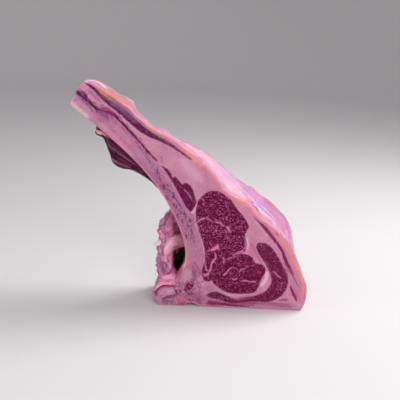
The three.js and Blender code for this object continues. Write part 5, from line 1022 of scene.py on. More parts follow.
def paint(P, strokes, flat=None):
    """Premultiplied colour, cover and lift at points (x, y, z). flat says which points lie on a cut."""
    rgb = np.zeros((len(P), 3))
    cover = np.zeros(len(P))
    lift = np.zeros(len(P))
    for colour, alpha, width, soft, rise, closed, depth, line in strokes:
        line = np.array(line, float)
        reach = (width / 2 + soft) / np.array([1, depth, 1])
        near = np.all((P > line.min(0) - reach) & (P < line.max(0) + reach), axis=1)
        if closed and flat is not None:
            near &= flat
        idx = np.nonzero(near)[0]
        if not len(idx):
            continue
        Q = P[idx]
        if closed:
            ring = np.concatenate([spline(line[:, [0, 2]], True, 4), ])
            ring = np.concatenate([ring, ring[:1]])
            d, _ = seg_distance(Q[:, [0, 2]], ring)
            d = np.where(inside(Q[:, [0, 2]], ring[:-1]), -d, d)
            edge = 0.0
        else:
            curve = spline(line[:, [0, 2, 1]], False, 3)[:, [0, 2, 1]] if len(line) > 2 else line
            d, where = seg_distance(Q * [1, depth, 1], curve * [1, depth, 1])
            taper = smooth01(np.minimum(where, len(curve) - 1 - where) / 1.2) if len(curve) > 3 else 1.0
            edge = width / 2 * (0.5 + 0.5 * taper) - soft / 2
        d = d + 0.25 * soft * perlin(Q / 2.6, 5)
        m = alpha * (1 - smooth01((d - edge + (soft / 2 if closed else 0)) / soft))
        if width <= 3.2 and not closed:
            m = m * (0.85 + 0.3 * perlin(Q / 3.1, 6))
        rgb[idx] = rgb[idx] * (1 - m[:, None]) + linear(colour) * m[:, None]
        cover[idx] = cover[idx] * (1 - m) + m
        lift[idx] += rise * m / max(alpha, 1e-3)
    return rgb, cover, np.clip(lift, -2.4, 2.4)


flat3 = np.stack([V[:, 0], np.zeros(N), V[:, 1]], 1)
rgb_f, cov_f, lift_f = paint(flat3, PAINT, np.ones(N, bool))
cut_only = [s for s in PAINT if all(abs(p[1]) < 1e-6 for p in s[7])]
rgb_b, cov_b, lift_b = paint(flat3, cut_only, np.ones(N, bool))

# Relief of the two cuts.
vr = np.zeros(N, int)
for k in range(3):
    vr[T[:, k]] = region
lean_names = set(muscle_lines)
is_lean = np.array([names[r] in lean_names for r in vr])
is_bone = np.array([names[r] in bone_lines for r in vr])


def relief(seed):
    P = np.stack([V[:, 0], np.full(N, seed * 9.7), V[:, 1]], 1)
    inner_ = smooth01(seam / 2.2)
    lean_h = 0.8 * smooth01(seam / 5) + inner_ * (0.35 * perlin(P / 5, 1) + 0.28 * perlin(P / 2.4, 2))
    fat_h = inner_ * (0.5 * perlin(P / 13, 3) + 0.22 * perlin(P / 3.4, 4) + 0.1 * perlin(P / 1.7, 5))
    bone_h = inner_ * (-0.25 * smooth01((seam - 2) / 3) + 0.14 * perlin(P / 2.2, 6) + 0.25 * perlin(P / 8, 7))
    rough = smooth01((16 - V[:, 0]) / 14) * smooth01((50 - V[:, 1]) / 14)
    h = np.where(is_lean, lean_h, np.where(is_bone, bone_h, fat_h))
    h += rough * (1.1 * perlin(P / 6.5, 8) + 0.6 * perlin(P / 3, 9))
    near_lean = nearest(V, V[np.unique([e[2:] for e in seam_edges if names[e[1]] in lean_names])])
    h -= 0.45 * np.exp(-(near_lean / 1.3) ** 2)
    return h


fade = smooth01(rimd / 2.5)
h_front = (relief(0) + lift_f) * fade
h_back = (relief(1) + lift_b * 0.6) * fade
front = np.stack([V[:, 0], -h_front, V[:, 1]], 1)
Vb = warp(V, 1.0)
back = np.stack([Vb[:, 0], DEPTH + h_back, Vb[:, 1]], 1)

# The outer wall: rings from the front border to the back border.
steps = [(4 * (1 - math.cos(math.radians(a))), math.sin(math.radians(a))) for a in (18, 36, 54, 72, 90)]
mids = np.linspace(4, DEPTH - 4, 43)[1:-1]
rings = steps + [(y, 1.0) for y in mids] + [(DEPTH - y, o) for y, o in reversed(steps)]
K = len(rings)
M = len(loop)
on_base = smooth01((3.0 - L2[:, 1]) / 2.0) * (nrm[:, 1] < -0.3)
outer_side = smooth01((nrm @ np.array([0.707, 0.707]) + 0.1) / 0.5) * smooth01((L2[:, 0] + 178) / 14)
amp = outer_side * (1 - on_base)
for _ in range(6):
    amp = (np.roll(amp, 1) + 2 * amp + np.roll(amp, -1)) / 4
amp = amp * (1 - on_base)
# Behind the front edge the outline of the outer side grows smoother over its middle stretch.
smoother = outer_side * (1 - on_base) * smooth01((L2[:, 0] + 54) / 12) * smooth01((52 - L2[:, 0]) / 10)


def eased(P):
    Q = P.copy()
    for _ in range(70):
        Q = (np.roll(Q, 1, 0) + 2 * Q + np.roll(Q, -1, 0)) / 4
    return (Q - P) * smoother[:, None]


shift_b = eased(warp(L2, 1.0))
near_loop = np.array([np.argmin(((L2 - v) ** 2).sum(1)) for v in V])
back[:, [0, 2]] += shift_b[near_loop] * np.exp(-(rimd / 12) ** 2)[:, None]
ring_pos = np.empty((K, M, 3))
for k, (y, out) in enumerate(rings):
    s = y / DEPTH
    base = warp(L2, s)
    base = base + eased(base) * smooth01(s / 0.35)
    n = outward(base, 3)
    yy = np.full(M, y)
    streak = np.stack([arc / 26, yy / 7.5, np.full(M, 1.0)], 1)
    fine = np.stack([arc / 9, yy / 3.6, np.full(M, 5.0)], 1)
    round_ = np.stack([arc / 13, yy / 12, np.full(M, 9.0)], 1)
    grain = np.stack([arc / 4.5, yy / 4.5, np.full(M, 13.0)], 1)
    depth_in = smooth01(min(y, DEPTH - y) / 7)
    bump = depth_in * (amp * (0.5 * perlin(streak, 21) + 0.3 * perlin(fine, 22) + 0.22 * perlin(round_, 23))
                       + (1 - on_base) * 0.2 * perlin(grain, 24))
    d = rounding * out + crown * math.sin(math.pi * s) + bump
    P = base + n * d[:, None]
    ring_pos[k] = np.stack([P[:, 0], yy, np.maximum(0, P[:, 1])], 1)
wall_pts = ring_pos.reshape(-1, 3)
rgb_w, cov_w, lift_w = paint(wall_pts, PAINT)
# Lifts on the wall go outward.
flat_lift = lift_w.reshape(K, M)
for k, (y, out) in enumerate(rings):
    n = outward(warp(L2, y / DEPTH), 3)
    ring_pos[k][:, 0] += n[:, 0] * flat_lift[k] * out
    ring_pos[k][:, 2] = np.maximum(0, ring_pos[k][:, 2] + n[:, 1] * flat_lift[k] * out)
wall_pts = ring_pos.reshape(-1, 3)

every = np.concatenate([front, back, wall_pts])
W = 2 * N                                                  # first wall vertex
wall_amount = np.concatenate([
    1 - smooth01(rimd / 1.2), 1 - smooth01(rimd / 1.2),
    np.repeat([smooth01(0.35 + 0.65 * min(y, DEPTH - y) / 3.0) for y, _ in rings], M)])
wall_amount[:2 * N] *= 0.35
arc_all = np.concatenate([arc[np.zeros(N, int)] * 0, np.zeros(N), np.tile(arc, K)])
order = {v: i for i, v in enumerate(loop.tolist())}
for v, i in order.items():
    arc_all[v] = arc_all[N + v] = arc[i]
outer_all = np.concatenate([np.zeros(2 * N), np.tile(amp, K)])
outer_all[loop] = amp
outer_all[N + loop] = amp
seam_all = np.concatenate([seam, seam, np.tile(seam[loop], K)])
flat_xz = np.concatenate([V, V, np.tile(L2, (K, 1))])
rgb_all = np.concatenate([rgb_f, rgb_b * 0.85, rgb_w])
cov_all = np.concatenate([cov_f, cov_b * 0.85, cov_w])
coarse_all = smooth01((20 - flat_xz[:, 0]) / 14) * smooth01((52 - flat_xz[:, 1]) / 12) * smooth01((flat_xz[:, 0] + 200) / 60)
pores_all = paint(np.stack([flat_xz[:, 0], np.zeros(len(flat_xz)), flat_xz[:, 1]], 1), PORES)[1]

mid_line = spline(RIB_MID, False, 3)
_, along_all = seg_distance(flat_xz, mid_line)
ii = np.minimum(np.floor(along_all).astype(int), len(mid_line) - 2)
dm = mid_line[ii + 1] - mid_line[ii]
dm /= np.linalg.norm(dm, axis=1)[:, None]
rel = flat_xz - mid_line[ii]
across_all = dm[:, 0] * rel[:, 1] - dm[:, 1] * rel[:, 0]
along_all = along_all * 3.0


# ---- meshes -------------------------------------------------------------------------------------------------
def put(P):
    """Outline millimetres to metres in the frame."""
    P = np.asarray(P, float)
    return np.stack([(P[:, 0] - ORIGIN[0]), (P[:, 1] - ORIGIN[1]), P[:, 2]], 1) / 1000


def mesh_object(name, P, polys, attrs, angle=50):
    me = bpy.data.meshes.new(name)
    me.from_pydata([tuple(p) for p in put(P)], [], polys)
    me.update()
    for key, val in attrs.items():
        val = np.asarray(val, float)
        if val.ndim == 2:
            a = me.attributes.new(key, "FLOAT_COLOR", "POINT")
            a.data.foreach_set("color", val.ravel().astype(np.float32))
        else:
            a = me.attributes.new(key, "FLOAT", "POINT")
            a.data.foreach_set("value", val.astype(np.float32))
    me.polygons.foreach_set("use_smooth", [True] * len(me.polygons))
    if angle:
        me.set_sharp_from_angle(angle=math.radians(angle))
    me.validate()
    ob = bpy.data.objects.new(name, me)
    bpy.context.scene.collection.objects.link(ob)
    return ob


pieces = {}
tri_front = T
tri_back = T[:, ::-1] + N
pos_in_loop = np.full(N, -1)
pos_in_loop[loop] = np.arange(M)


def ring_vertex(k, j):
    """Vertex j of ring k, where ring 0 is the front border and ring K + 1 the back border."""
    if k == 0:
        return int(loop[j])
    if k == K + 1:
        return int(N + loop[j])
    return W + (k - 1) * M + j


seams_of = {}
for t, r, a, b in seam_edges:
    seams_of.setdefault(r, []).append((a, b))
rims_of = {}
for t, r, a, b in rim_edges:
    rims_of.setdefault(r, []).append((a, b))
# A muscle that comes up to the rounded edge stops there: the fat closes over it on the outer wall.
under = [e for r, v in rims_of.items() if names[r] in ("eye_muscle", "deep_muscle", "cap_muscle", "flank_muscle_band",
                                                         "rim_muscle_strip", "low_muscle_strip") for e in v]
for r in list(rims_of):
    if any(e in rims_of[r] for e in under):
        seams_of.setdefault(r, []).extend(rims_of.pop(r))
rims_of[0] += under
for r, name in enumerate(names):
    mine = np.nonzero(region == r)[0]
    polys = tri_front[mine].tolist() + tri_back[mine].tolist()
    for a, b in seams_of.get(r, []):
        polys.append([b, a, N + a, N + b])
    if r == 0:
        polys += [[a, b, N + b, N + a] for a, b in under]
    for a, b in rims_of.get(r, []):
        ja, jb = int(pos_in_loop[a]), int(pos_in_loop[b])
        for k in range(K + 1):
            polys.append([ring_vertex(k, jb), ring_vertex(k, ja), ring_vertex(k + 1, ja), ring_vertex(k + 1, jb)])
    flat_ids = np.unique(np.array([v for f in polys for v in f]))
    new = {int(v): i for i, v in enumerate(flat_ids)}
    polys = [[new[v] for v in f] for f in polys]
    attrs = {
        "paint": np.concatenate([rgb_all[flat_ids], cov_all[flat_ids, None]], 1),
        "seam": seam_all[flat_ids], "wall": wall_amount[flat_ids], "arc": arc_all[flat_ids], "outer": outer_all[flat_ids],
        "coarse": coarse_all[flat_ids],
    }
    if name in bone_lines:
        attrs.update(pores=pores_all[flat_ids], along=along_all[flat_ids], across=across_all[flat_ids])
    pieces[name] = mesh_object("steak_" + name, every[flat_ids], polys, attrs)


def grid_polys(rows, cols, wrap, flip=False):
    """Quads over a grid of rows x cols points; wrap closes each row on itself."""
    out = []
    for r in range(rows - 1):
        for c in range(cols if wrap else cols - 1):
            a, b = r * cols + c, r * cols + (c + 1) % cols
            out.append([a, b, b + cols, a + cols] if not flip else [a, a + cols, b + cols, b])
    return out


def closed_loft(name, P, rows, cols, attrs):
    """A closed body from rows of closed rings, with a fan point at each end."""
    P = np.asarray(P, float)
    ends = np.stack([P[:cols].mean(0), P[-cols:].mean(0)])
    polys = grid_polys(rows, cols, True)
    a, b = len(P), len(P) + 1
    polys += [[(c + 1) % cols, c, a] for c in range(cols)]
    base = (rows - 1) * cols
    polys += [[base + c, base + (c + 1) % cols, b] for c in range(cols)]
    Q = np.concatenate([P, ends])
    vol = 0.0
    for f in polys:
        for i in range(1, len(f) - 1):
            vol += np.dot(Q[f[0]], np.cross(Q[f[i]], Q[f[i + 1]]))
    if vol < 0:
        polys = [f[::-1] for f in polys]
    full = {}
    for key, val in attrs.items():
        val = np.asarray(val, float)
        tail = np.stack([val[:cols].mean(0), val[-cols:].mean(0)])
        full[key] = np.concatenate([val, tail])
    return mesh_object(name, Q, polys, full, 60)


# The inner flap behind the rib: folded membrane with a few ridges along the rib.
stations = spline(FLAP, False, 1.1)
m = len(stations)
bxz = warp(stations[:, :2], 1.0)
u2 = stations[:, 2:] - bxz
u2 /= np.maximum(1e-6, np.linalg.norm(u2, axis=1))[:, None]
S = np.linspace(0, 1, 50)
prof = []
for i in range(m):
    a, c, b, u = stations[i, :2], stations[i, 2:], bxz[i], u2[i]
    mix = lambda k, l: a + (c - a) * k + u * l
    m1, m2 = mix(0.3, 1.5), mix(0.7, 2.0)
    key = [(*(a - u * 3.0), FLAP_FRONT - 1.0), (*(a + u * 0.8), FLAP_FRONT), (*m1, FLAP_FRONT + 22), (*m2, FLAP_FRONT + 47), (*c, FLAP_BACK)]
    curve = spline(np.array(key)[:, [0, 1, 2]], False, 2.2)
    curve = resample(np.array(curve)[:, [0, 2, 1]], 1e9, False) if False else np.array(curve)
    L = np.concatenate([[0], np.cumsum(np.linalg.norm(np.diff(curve, axis=0), axis=1))])
    t = S * L[-1]
    prof.append(np.stack([np.interp(t, L, curve[:, k]) for k in (0, 1, 2)], 1))
prof = np.array(prof)                       # station, place across, (x, z, y)
F = np.stack([prof[:, :, 0], prof[:, :, 2], prof[:, :, 1]], 2)
du = np.gradient(F, axis=0)
dv = np.gradient(F, axis=1)
fn = np.cross(du, dv)
fn /= np.maximum(1e-9, np.linalg.norm(fn, axis=2))[:, :, None]
if fn[:, :, 1].mean() > 0:
    fn = -fn
flap_s = np.tile(S, (m, 1))
dist_along = np.concatenate([[0], np.cumsum(np.linalg.norm(np.diff(stations[:, :2], axis=0), axis=1))])
A2 = np.repeat(dist_along[:, None], len(S), axis=1)
wav = np.stack([A2.ravel() / 22, flap_s.ravel() * 3, np.zeros(A2.size)], 1)
shiftv = flap_s + 0.05 * perlin(wav, 41).reshape(flap_s.shape)
ridge = lambda at, w, h: h * np.exp(-((shiftv - at) / w) ** 2)
lift = ridge(0.36, 0.07, 1.3) + ridge(0.62, 0.06, 0.9) + ridge(0.93, 0.06, 1.6) - ridge(0.18, 0.09, 1.0) - ridge(0.76, 0.08, 1.2)
lift += 0.5 * perlin(np.stack([A2.ravel() / 6, flap_s.ravel() * 12, np.ones(A2.size)], 1), 42).reshape(flap_s.shape)
end = smooth01(np.minimum(dist_along, dist_along[-1] - dist_along) / 8)[:, None]
F = F + fn * (lift * end * smooth01(flap_s / 0.08))[:, :, None]
lip, rear = [], []
for i in range(m):
    a, c, b, u = stations[i, :2], stations[i, 2:], bxz[i], u2[i]
    tipp = F[i, -1]
    lip.append([(tipp[0] + u[0] * 0.8, tipp[1] + 1.6, tipp[2] + u[1] * 0.8), (tipp[0] + u[0] * 0.3, tipp[1] + 3.4, tipp[2] + u[1] * 0.3),
                (c[0] - u[0] * 2, DEPTH - 0.2, c[1] - u[1] * 2)])
    rear.append([(*((c - u * 2) * (1 - k) + (b - u * 5) * k),) for k in (0.33, 0.66, 1.0)])
lip = np.array(lip)
rear = np.array([[(p[0], DEPTH - 0.2 - 1.2 * math.sin(math.pi * k), p[1]) for k, p in zip((0.33, 0.66, 1.0), r_)] for r_ in rear])
hidden = np.array([[(stations[i, 0] - u2[i, 0] * 5, FLAP_FRONT + 2, stations[i, 1] - u2[i, 1] * 5)] for i in range(m)])
section = np.concatenate([F, lip, rear, hidden], axis=1)
cols = section.shape[1]
P = section.reshape(-1, 3)
rgb_, cov_, _ = paint(P, PAINT)
sv = np.concatenate([flap_s, np.full((m, 3), 1.0), np.full((m, 3), 1.05), np.zeros((m, 1))], axis=1).ravel()
av = np.repeat(dist_along, cols)
pieces["rib_flap"] = closed_loft("steak_rib_flap", P, m, cols, {
    "paint": np.concatenate([rgb_, cov_[:, None]], 1), "across": sv, "along": av})


# The head of the next rib.
def tube_points(rows, step, sides, deeper, rough):
    mid = spline(rows, False, step)
    d = np.empty((len(mid), 2))
    d[1:-1] = mid[2:, :2] - mid[:-2, :2]
    d[0], d[-1] = mid[1, :2] - mid[0, :2], mid[-1, :2] - mid[-2, :2]
    d /= np.linalg.norm(d, axis=1)[:, None]
    f = np.linspace(0, 2 * math.pi, sides, endpoint=False)
    out = []
    for (x, z, y, r), (ux, uz) in zip(mid, d):
        nx, nz = -uz, ux
        out.append(np.stack([x + nx * np.cos(f) * r, y + np.sin(f) * r * deeper, z + nz * np.cos(f) * r], 1))
    P = np.array(out)
    n = P - np.stack([mid[:, 0], mid[:, 2], mid[:, 1]], 1)[:, None, :]
    n /= np.maximum(1e-6, np.linalg.norm(n, axis=2))[:, :, None]
    flat_ = P.reshape(-1, 3)
    w = rough * (perlin(flat_ / 9, 31) + 0.4 * perlin(flat_ / 4, 32))
    return (flat_ + n.reshape(-1, 3) * w[:, None]), len(mid)


P, rows_ = tube_points(HEAD, 1.0, 90, 1.4, 0.5)
rgb_, cov_, _ = paint(P, PAINT)
pieces["rib_head"] = closed_loft("steak_rib_head", P, rows_, 90, {"paint": np.concatenate([rgb_, cov_[:, None]], 1)})

# The lumpy fat around it, with crevices between the lobes and the recess beside the rib; the material darkens both with
# painted shade.
lum = spline(LUMPS, False, 1e9)
L = np.array(LUMPS, float)
zs = np.arange(L[0, 0], L[-1, 0] + 0.01, 0.9)
SECT = 216
LC = np.array(LUMP_CENTRE)
f = np.linspace(0, 2 * math.pi, SECT, endpoint=False)


def column(k, z):
    """Smooth value of a LUMPS column at height z."""
    i = int(np.clip(np.searchsorted(L[:, 0], z) - 1, 0, len(L) - 2))
    t = (z - L[i, 0]) / (L[i + 1, 0] - L[i, 0])
    p = [L[max(0, min(len(L) - 1, j)), k] for j in (i - 1, i, i + 1, i + 2)]
    return 0.5 * (2 * p[1] + (p[2] - p[0]) * t + (2 * p[0] - 5 * p[1] + 4 * p[2] - p[3]) * t * t + (3 * p[1] - p[0] - 3 * p[2] + p[3]) * t ** 3)


P, hole = [], []
for z in zs:
    left, front_y, recess = column(1, z), column(2, z), float(np.clip(column(3, z), 0, 1))
    c, d = np.cos(f), np.sin(f)
    inr = np.where(d < 0, recess * smooth01((c + 0.04) / 0.16), 0)
    wave = 1 + 0.05 * np.sin(3 * f + z / 9) + 0.04 * np.sin(5 * f - z / 6)
    rx = np.where(c < 0, LC[0] - left, 40)
    ry = np.where(d < 0, (LC[1] - front_y) * (1 - 0.9 * inr), 20)
    P.append(np.stack([LC[0] + c * rx * wave, LC[1] + d * ry * wave, np.full(SECT, z)], 1))
    hole.append(inr)
P = np.array(P).reshape(-1, 3)
hole = np.array(hole).ravel()
radial = P - np.array([LC[0], LC[1], 0]) * [1, 1, 0] - np.stack([np.zeros(len(P)), np.zeros(len(P)), P[:, 2]], 1)
radial /= np.maximum(1e-6, np.linalg.norm(radial, axis=1))[:, None]
drift = 0.25 * np.stack([perlin(P / 8, s) for s in (51, 52, 53)], 1)
q1 = perlin(P / [13, 13, 11] + drift, 58)
q2 = perlin(P / 5.6 + drift, 59)
crease = np.exp(-(q1 / 0.05) ** 2)
crease2 = np.exp(-(q2 / 0.06) ** 2)
disp = 8.0 * (np.abs(q1) - 0.22) + 2.6 * (np.abs(q2) - 0.22) + 0.35 * perlin(P / 2.6, 57)
disp *= (1 - 0.75 * hole) * smooth01((P[:, 2] - 30) / 6 + 0.3)
P = P + radial * disp[:, None]
rgb_, cov_, lift_ = paint(P, PAINT)
P = P + radial * lift_[:, None]
P[:, 1] = np.where(P[:, 1] > DEPTH - 4, DEPTH - 4 + 4.5 * np.tanh((P[:, 1] - DEPTH + 4) / 9), P[:, 1])
# The crease attribute marks the creases between the lobes and recess marks the recess; the material darkens both as
# painted shade.
pieces["chine_fat"] = closed_loft("steak_chine_fat", P, len(zs), SECT, {
    "paint": np.concatenate([rgb_, cov_[:, None]], 1), "crease": np.clip(0.9 * crease + 0.45 * crease2, 0, 1) * smooth01(0.2 + 1.6 * (0.5 + perlin(P / 9, 60))), "recess": hole})
P, rows_ = tube_points(NUB, 0.9, 28, 1.3, 0.35)
nub = closed_loft("steak_fat_shred", P, rows_, 28, {
    "paint": np.tile([*(0.92 * linear((255, 226, 238))), 0.92], (len(P), 1)), "crease": np.zeros(len(P)), "recess": np.zeros(len(P))})


# ---- materials ------------------------------------------------------------------------------------------------
class Shader:
    """Short names for building a node tree. Texture space is object space in millimetres."""

    def __init__(self, name):
        self.mat = bpy.data.materials.new(name)
        self.mat.use_nodes = True
        self.nt = self.mat.node_tree
        self.nt.nodes.clear()
        self.out = self.nt.nodes.new("ShaderNodeOutputMaterial")
        self.bsdf = self.nt.nodes.new("ShaderNodeBsdfPrincipled")
        self.nt.links.new(self.bsdf.outputs[0], self.out.inputs[0])
        tc = self.nt.nodes.new("ShaderNodeTexCoord")
        self.obj = self.vmath("SCALE", tc.outputs["Object"], scale=1000.0)

    def link(self, node, socket, value):
        if value is None:
            return
        s = node.inputs[socket]
        if isinstance(value, bpy.types.NodeSocket):
            self.nt.links.new(value, s)
        elif isinstance(value, (tuple, list, np.ndarray)) and s.type == "RGBA":
            s.default_value = (*value[:3], 1.0)
        else:
            s.default_value = value

    def vmath(self, op, a, b=None, scale=None):
        n = self.nt.nodes.new("ShaderNodeVectorMath")
        n.operation = op
        self.link(n, 0, a)
        if b is not None:
            self.link(n, 1, b)
        if scale is not None:
            self.link(n, "Scale", scale)
        return n.outputs[0]

    def math(self, op, a, b=None, c=None, clamp=False):
        n = self.nt.nodes.new("ShaderNodeMath")
        n.operation = op
        n.use_clamp = clamp
        self.link(n, 0, a)
        if b is not None:
            self.link(n, 1, b)
        if c is not None:
            self.link(n, 2, c)
        return n.outputs[0]

    def attr(self, name, what="Fac"):
        n = self.nt.nodes.new("ShaderNodeAttribute")
        n.attribute_name = name
        return n.outputs[what]

    def combine(self, x, y, z):
        n = self.nt.nodes.new("ShaderNodeCombineXYZ")
        for i, v in enumerate((x, y, z)):
            self.link(n, i, v)
        return n.outputs[0]

    def turned(self, vec, size, turn=0.0, move=(0, 0, 0)):
        """Space with cells of size mm along axes turned about Y."""
        n = self.nt.nodes.new("ShaderNodeMapping")
        n.vector_type = "TEXTURE"
        self.link(n, "Vector", vec)
        n.inputs["Location"].default_value = move
        n.inputs["Rotation"].default_value = (0, turn, 0)
        n.inputs["Scale"].default_value = size
        return n.outputs[0]

    def noise(self, scale, detail=2.0, rough=0.5, distort=0.0, vec=None, kind="FBM", out="Fac"):
        n = self.nt.nodes.new("ShaderNodeTexNoise")
        n.noise_type = kind
        self.link(n, "Vector", vec if vec is not None else self.obj)
        self.link(n, "Scale", scale)
        self.link(n, "Detail", detail)
        self.link(n, "Roughness", rough)
        self.link(n, "Distortion", distort)
        return n.outputs[out]

    def voronoi(self, scale, feature="F1", vec=None, out="Distance", random=1.0):
        n = self.nt.nodes.new("ShaderNodeTexVoronoi")
        n.feature = feature
        self.link(n, "Vector", vec if vec is not None else self.obj)
        self.link(n, "Scale", scale)
        self.link(n, "Randomness", random)
        return n.outputs[out]

    def range(self, v, a, b, c=0.0, d=1.0, smooth=True):
        n = self.nt.nodes.new("ShaderNodeMapRange")
        n.interpolation_type = "SMOOTHSTEP" if smooth else "LINEAR"
        n.clamp = True
        for key, val in (("Value", v), ("From Min", a), ("From Max", b), ("To Min", c), ("To Max", d)):
            self.link(n, key, val)
        return n.outputs["Result"]

    def mix(self, f, a, b, kind="MIX"):
        n = self.nt.nodes.new("ShaderNodeMix")
        n.data_type = "RGBA"
        n.blend_type = kind
        n.clamp_factor = True
        self.link(n, 0, f)
        self.link(n, 6, a)
        self.link(n, 7, b)
        return n.outputs[2]

    def bump(self, height, strength, distance, normal=None):
        n = self.nt.nodes.new("ShaderNodeBump")
        self.link(n, "Height", height)
        n.inputs["Strength"].default_value = strength
        n.inputs["Distance"].default_value = distance
        if normal is not None:
            self.link(n, "Normal", normal)
        return n.outputs[0]

    def overpaint(self, base, raggedness=0.5):
        """Lays the painted details over the base colour, with edges broken by fine noise."""
        col = self.nt.nodes.new("ShaderNodeAttribute")
        col.attribute_name = "paint"
        a = col.outputs["Alpha"]
        wob = self.noise(0.42, 3, 0.6)
        wide = self.range(self.math("ADD", a, self.math("MULTIPLY", self.math("SUBTRACT", wob, 0.5), raggedness)), 0.0, 0.95, smooth=False)
        keep = self.math("MINIMUM", self.math("DIVIDE", wide, self.math("MAXIMUM", a, 0.02)), 1.25)
        keep = self.math("MULTIPLY", keep, self.range(a, 0.0, 0.08))
        over = self.math("MINIMUM", self.math("MULTIPLY", a, keep), 1.0)
        left = self.vmath("SCALE", base, scale=self.math("SUBTRACT", 1.0, over))
        return self.vmath("ADD", left, self.vmath("SCALE", col.outputs["Color"], scale=keep)), over

    def finish(self, colour, rough, normal=None, coat=0.0, coat_rough=0.2, sss=0.0, radius=(1, 0.4, 0.3), sss_scale=0.002, spec=0.5):
        b = self.bsdf
        self.link(b, "Base Color", colour)
        self.link(b, "Roughness", rough)
        if normal is not None:
            self.link(b, "Normal", normal)
        b.inputs["Coat Weight"].default_value = coat
        b.inputs["Coat Roughness"].default_value = coat_rough
        b.inputs["Subsurface Weight"].default_value = sss
        b.inputs["Subsurface Radius"].default_value = radius
        b.inputs["Subsurface Scale"].default_value = sss_scale
        b.inputs["Specular IOR Level"].default_value = spec
        return self.mat


def rgb(*c):
    return tuple(float(v) for v in linear(c))


def lean_material(name, dark, mid, fleck, density, purple=0.0, broken=0.0):
    """Moist raw muscle: dark bundles of fibres with fine broken threads of fat between them."""
    g = Shader(name)
    sway = g.noise(0.09, 1, 0.5, out="Color")
    sway = g.vmath("SCALE", g.vmath("SUBTRACT", sway, (0.5, 0.5, 0.5)), scale=14.0)
    at = g.vmath("ADD", g.obj, sway)
    base = g.mix(g.range(g.noise(0.07, 3, 0.6), 0.35, 0.68), rgb(*dark), rgb(*mid))
    bundle = g.voronoi(1.0, "F1", g.turned(at, (2.6, 3.0, 2.0), 0.5), "Color")
    base = g.mix(g.math("MULTIPLY", g.range(bundle, 0.25, 0.95), 0.55), base, rgb(mid[0] * 1.3, mid[1] * 1.5, mid[2] * 1.4))
    edge = g.voronoi(1.0, "DISTANCE_TO_EDGE", g.turned(at, (2.2, 2.4, 1.7), -0.4))
    base = g.mix(g.range(edge, 0.0, 0.14, 0.5, 0.0), base, rgb(dark[0] * 0.8, dark[1] * 0.7, dark[2] * 0.75))
    if purple:
        base = g.mix(g.range(g.noise(0.3, 4, 0.7), 0.5, 0.62, 0.0, purple), base, rgb(92, 68, 112))

    def flecks(size, turn, seed, lo, hi):
        at_ = g.turned(at, size, turn, (seed * 13.1, seed * 7.7, seed * 3.3))
        return g.range(g.noise(1.0, 1.6, 0.55, 0.2, at_), lo, hi)

    worms = g.math("MAXIMUM", flecks((4.6, 3.6, 2.0), -0.6, 1, 0.585, 0.68), flecks((4.0, 3.6, 1.9), 0.35, 2, 0.60, 0.69))
    worms = g.math("MAXIMUM", worms, g.math("MULTIPLY", flecks((3.2, 3.0, 1.9), 1.3, 3, 0.60, 0.69), 0.85))
    grains = g.range(g.voronoi(1.0, "F1", g.turned(at, (3.1, 3.1, 2.6), 0.9)), 0.12, 0.30, 0.8, 0.0)
    grains = g.math("MULTIPLY", grains, g.range(g.noise(0.33, 1), 0.46, 0.56))
    amount = g.math("MAXIMUM", worms, grains)
    patch = g.range(g.noise(0.05, 2, 0.5), 0.34, 0.6, 0.6, 1.0)
    amount = g.math("MULTIPLY", g.math("MULTIPLY", amount, patch), density, clamp=True)
    fleck_col = g.mix(g.noise(0.25, 1), rgb(*fleck), rgb(fleck[0] * 0.86, fleck[1] * 0.75, fleck[2] * 0.88))
    colour = g.mix(amount, base, fleck_col)
    if broken:
        gap = g.range(g.noise(0.34, 3, 0.65, 0.4), 0.53, 0.60)
        colour = g.mix(g.math("MULTIPLY", gap, broken), colour, rgb(178, 98, 140))
    torn = g.math("MULTIPLY", g.range(g.noise(0.85, 3, 0.65, 0.3), 0.48, 0.6), g.range(g.attr("seam"), 0.3, 2.2, 0.75, 0.0))
    colour = g.mix(torn, colour, rgb(178, 92, 132))
    skin = g.math("MULTIPLY", g.attr("wall"), 0.55)
    colour = g.mix(skin, colour, rgb(mid[0] * 1.1, mid[1] * 1.2, mid[2] * 1.15))
    colour, over = g.overpaint(colour, 0.45)
    rough = g.range(g.noise(0.5, 2), 0.3, 0.7, 0.34, 0.5)
    h = g.math("ADD", g.math("MULTIPLY", amount, 0.5), g.math("ADD", g.math("MULTIPLY", edge, 1.0), g.noise(1.1, 3, 0.6)))
    return g.finish(colour, rough, g.bump(h, 0.5, 0.0006), coat=0.0, sss=0.03, sss_scale=0.001, spec=0.06)


def coarse_mottle(g, base):
    """Torn gristle, blood and fat round the chine, where the coarse attribute says so."""
    c = g.attr("coarse")
    one = g.range(g.noise(0.26, 4, 0.7, 0.4), 0.47, 0.55)
    base = g.mix(g.math("MULTIPLY", one, g.math("MULTIPLY", c, 0.55)), base, rgb(150, 66, 108))
    two = g.range(g.noise(0.32, 4, 0.7, 0.3, g.turned(g.obj, (1, 1, 1), 0, (31, 5, 17))), 0.50, 0.57)
    base = g.mix(g.math("MULTIPLY", two, g.math("MULTIPLY", c, 0.6)), base, rgb(232, 160, 192))
    three = g.range(g.noise(0.5, 3, 0.7, 0.3, g.turned(g.obj, (1, 1, 1), 0, (7, 51, 3))), 0.56, 0.62)
    return g.mix(g.math("MULTIPLY", three, g.math("MULTIPLY", c, 0.75)), base, rgb(104, 32, 78))


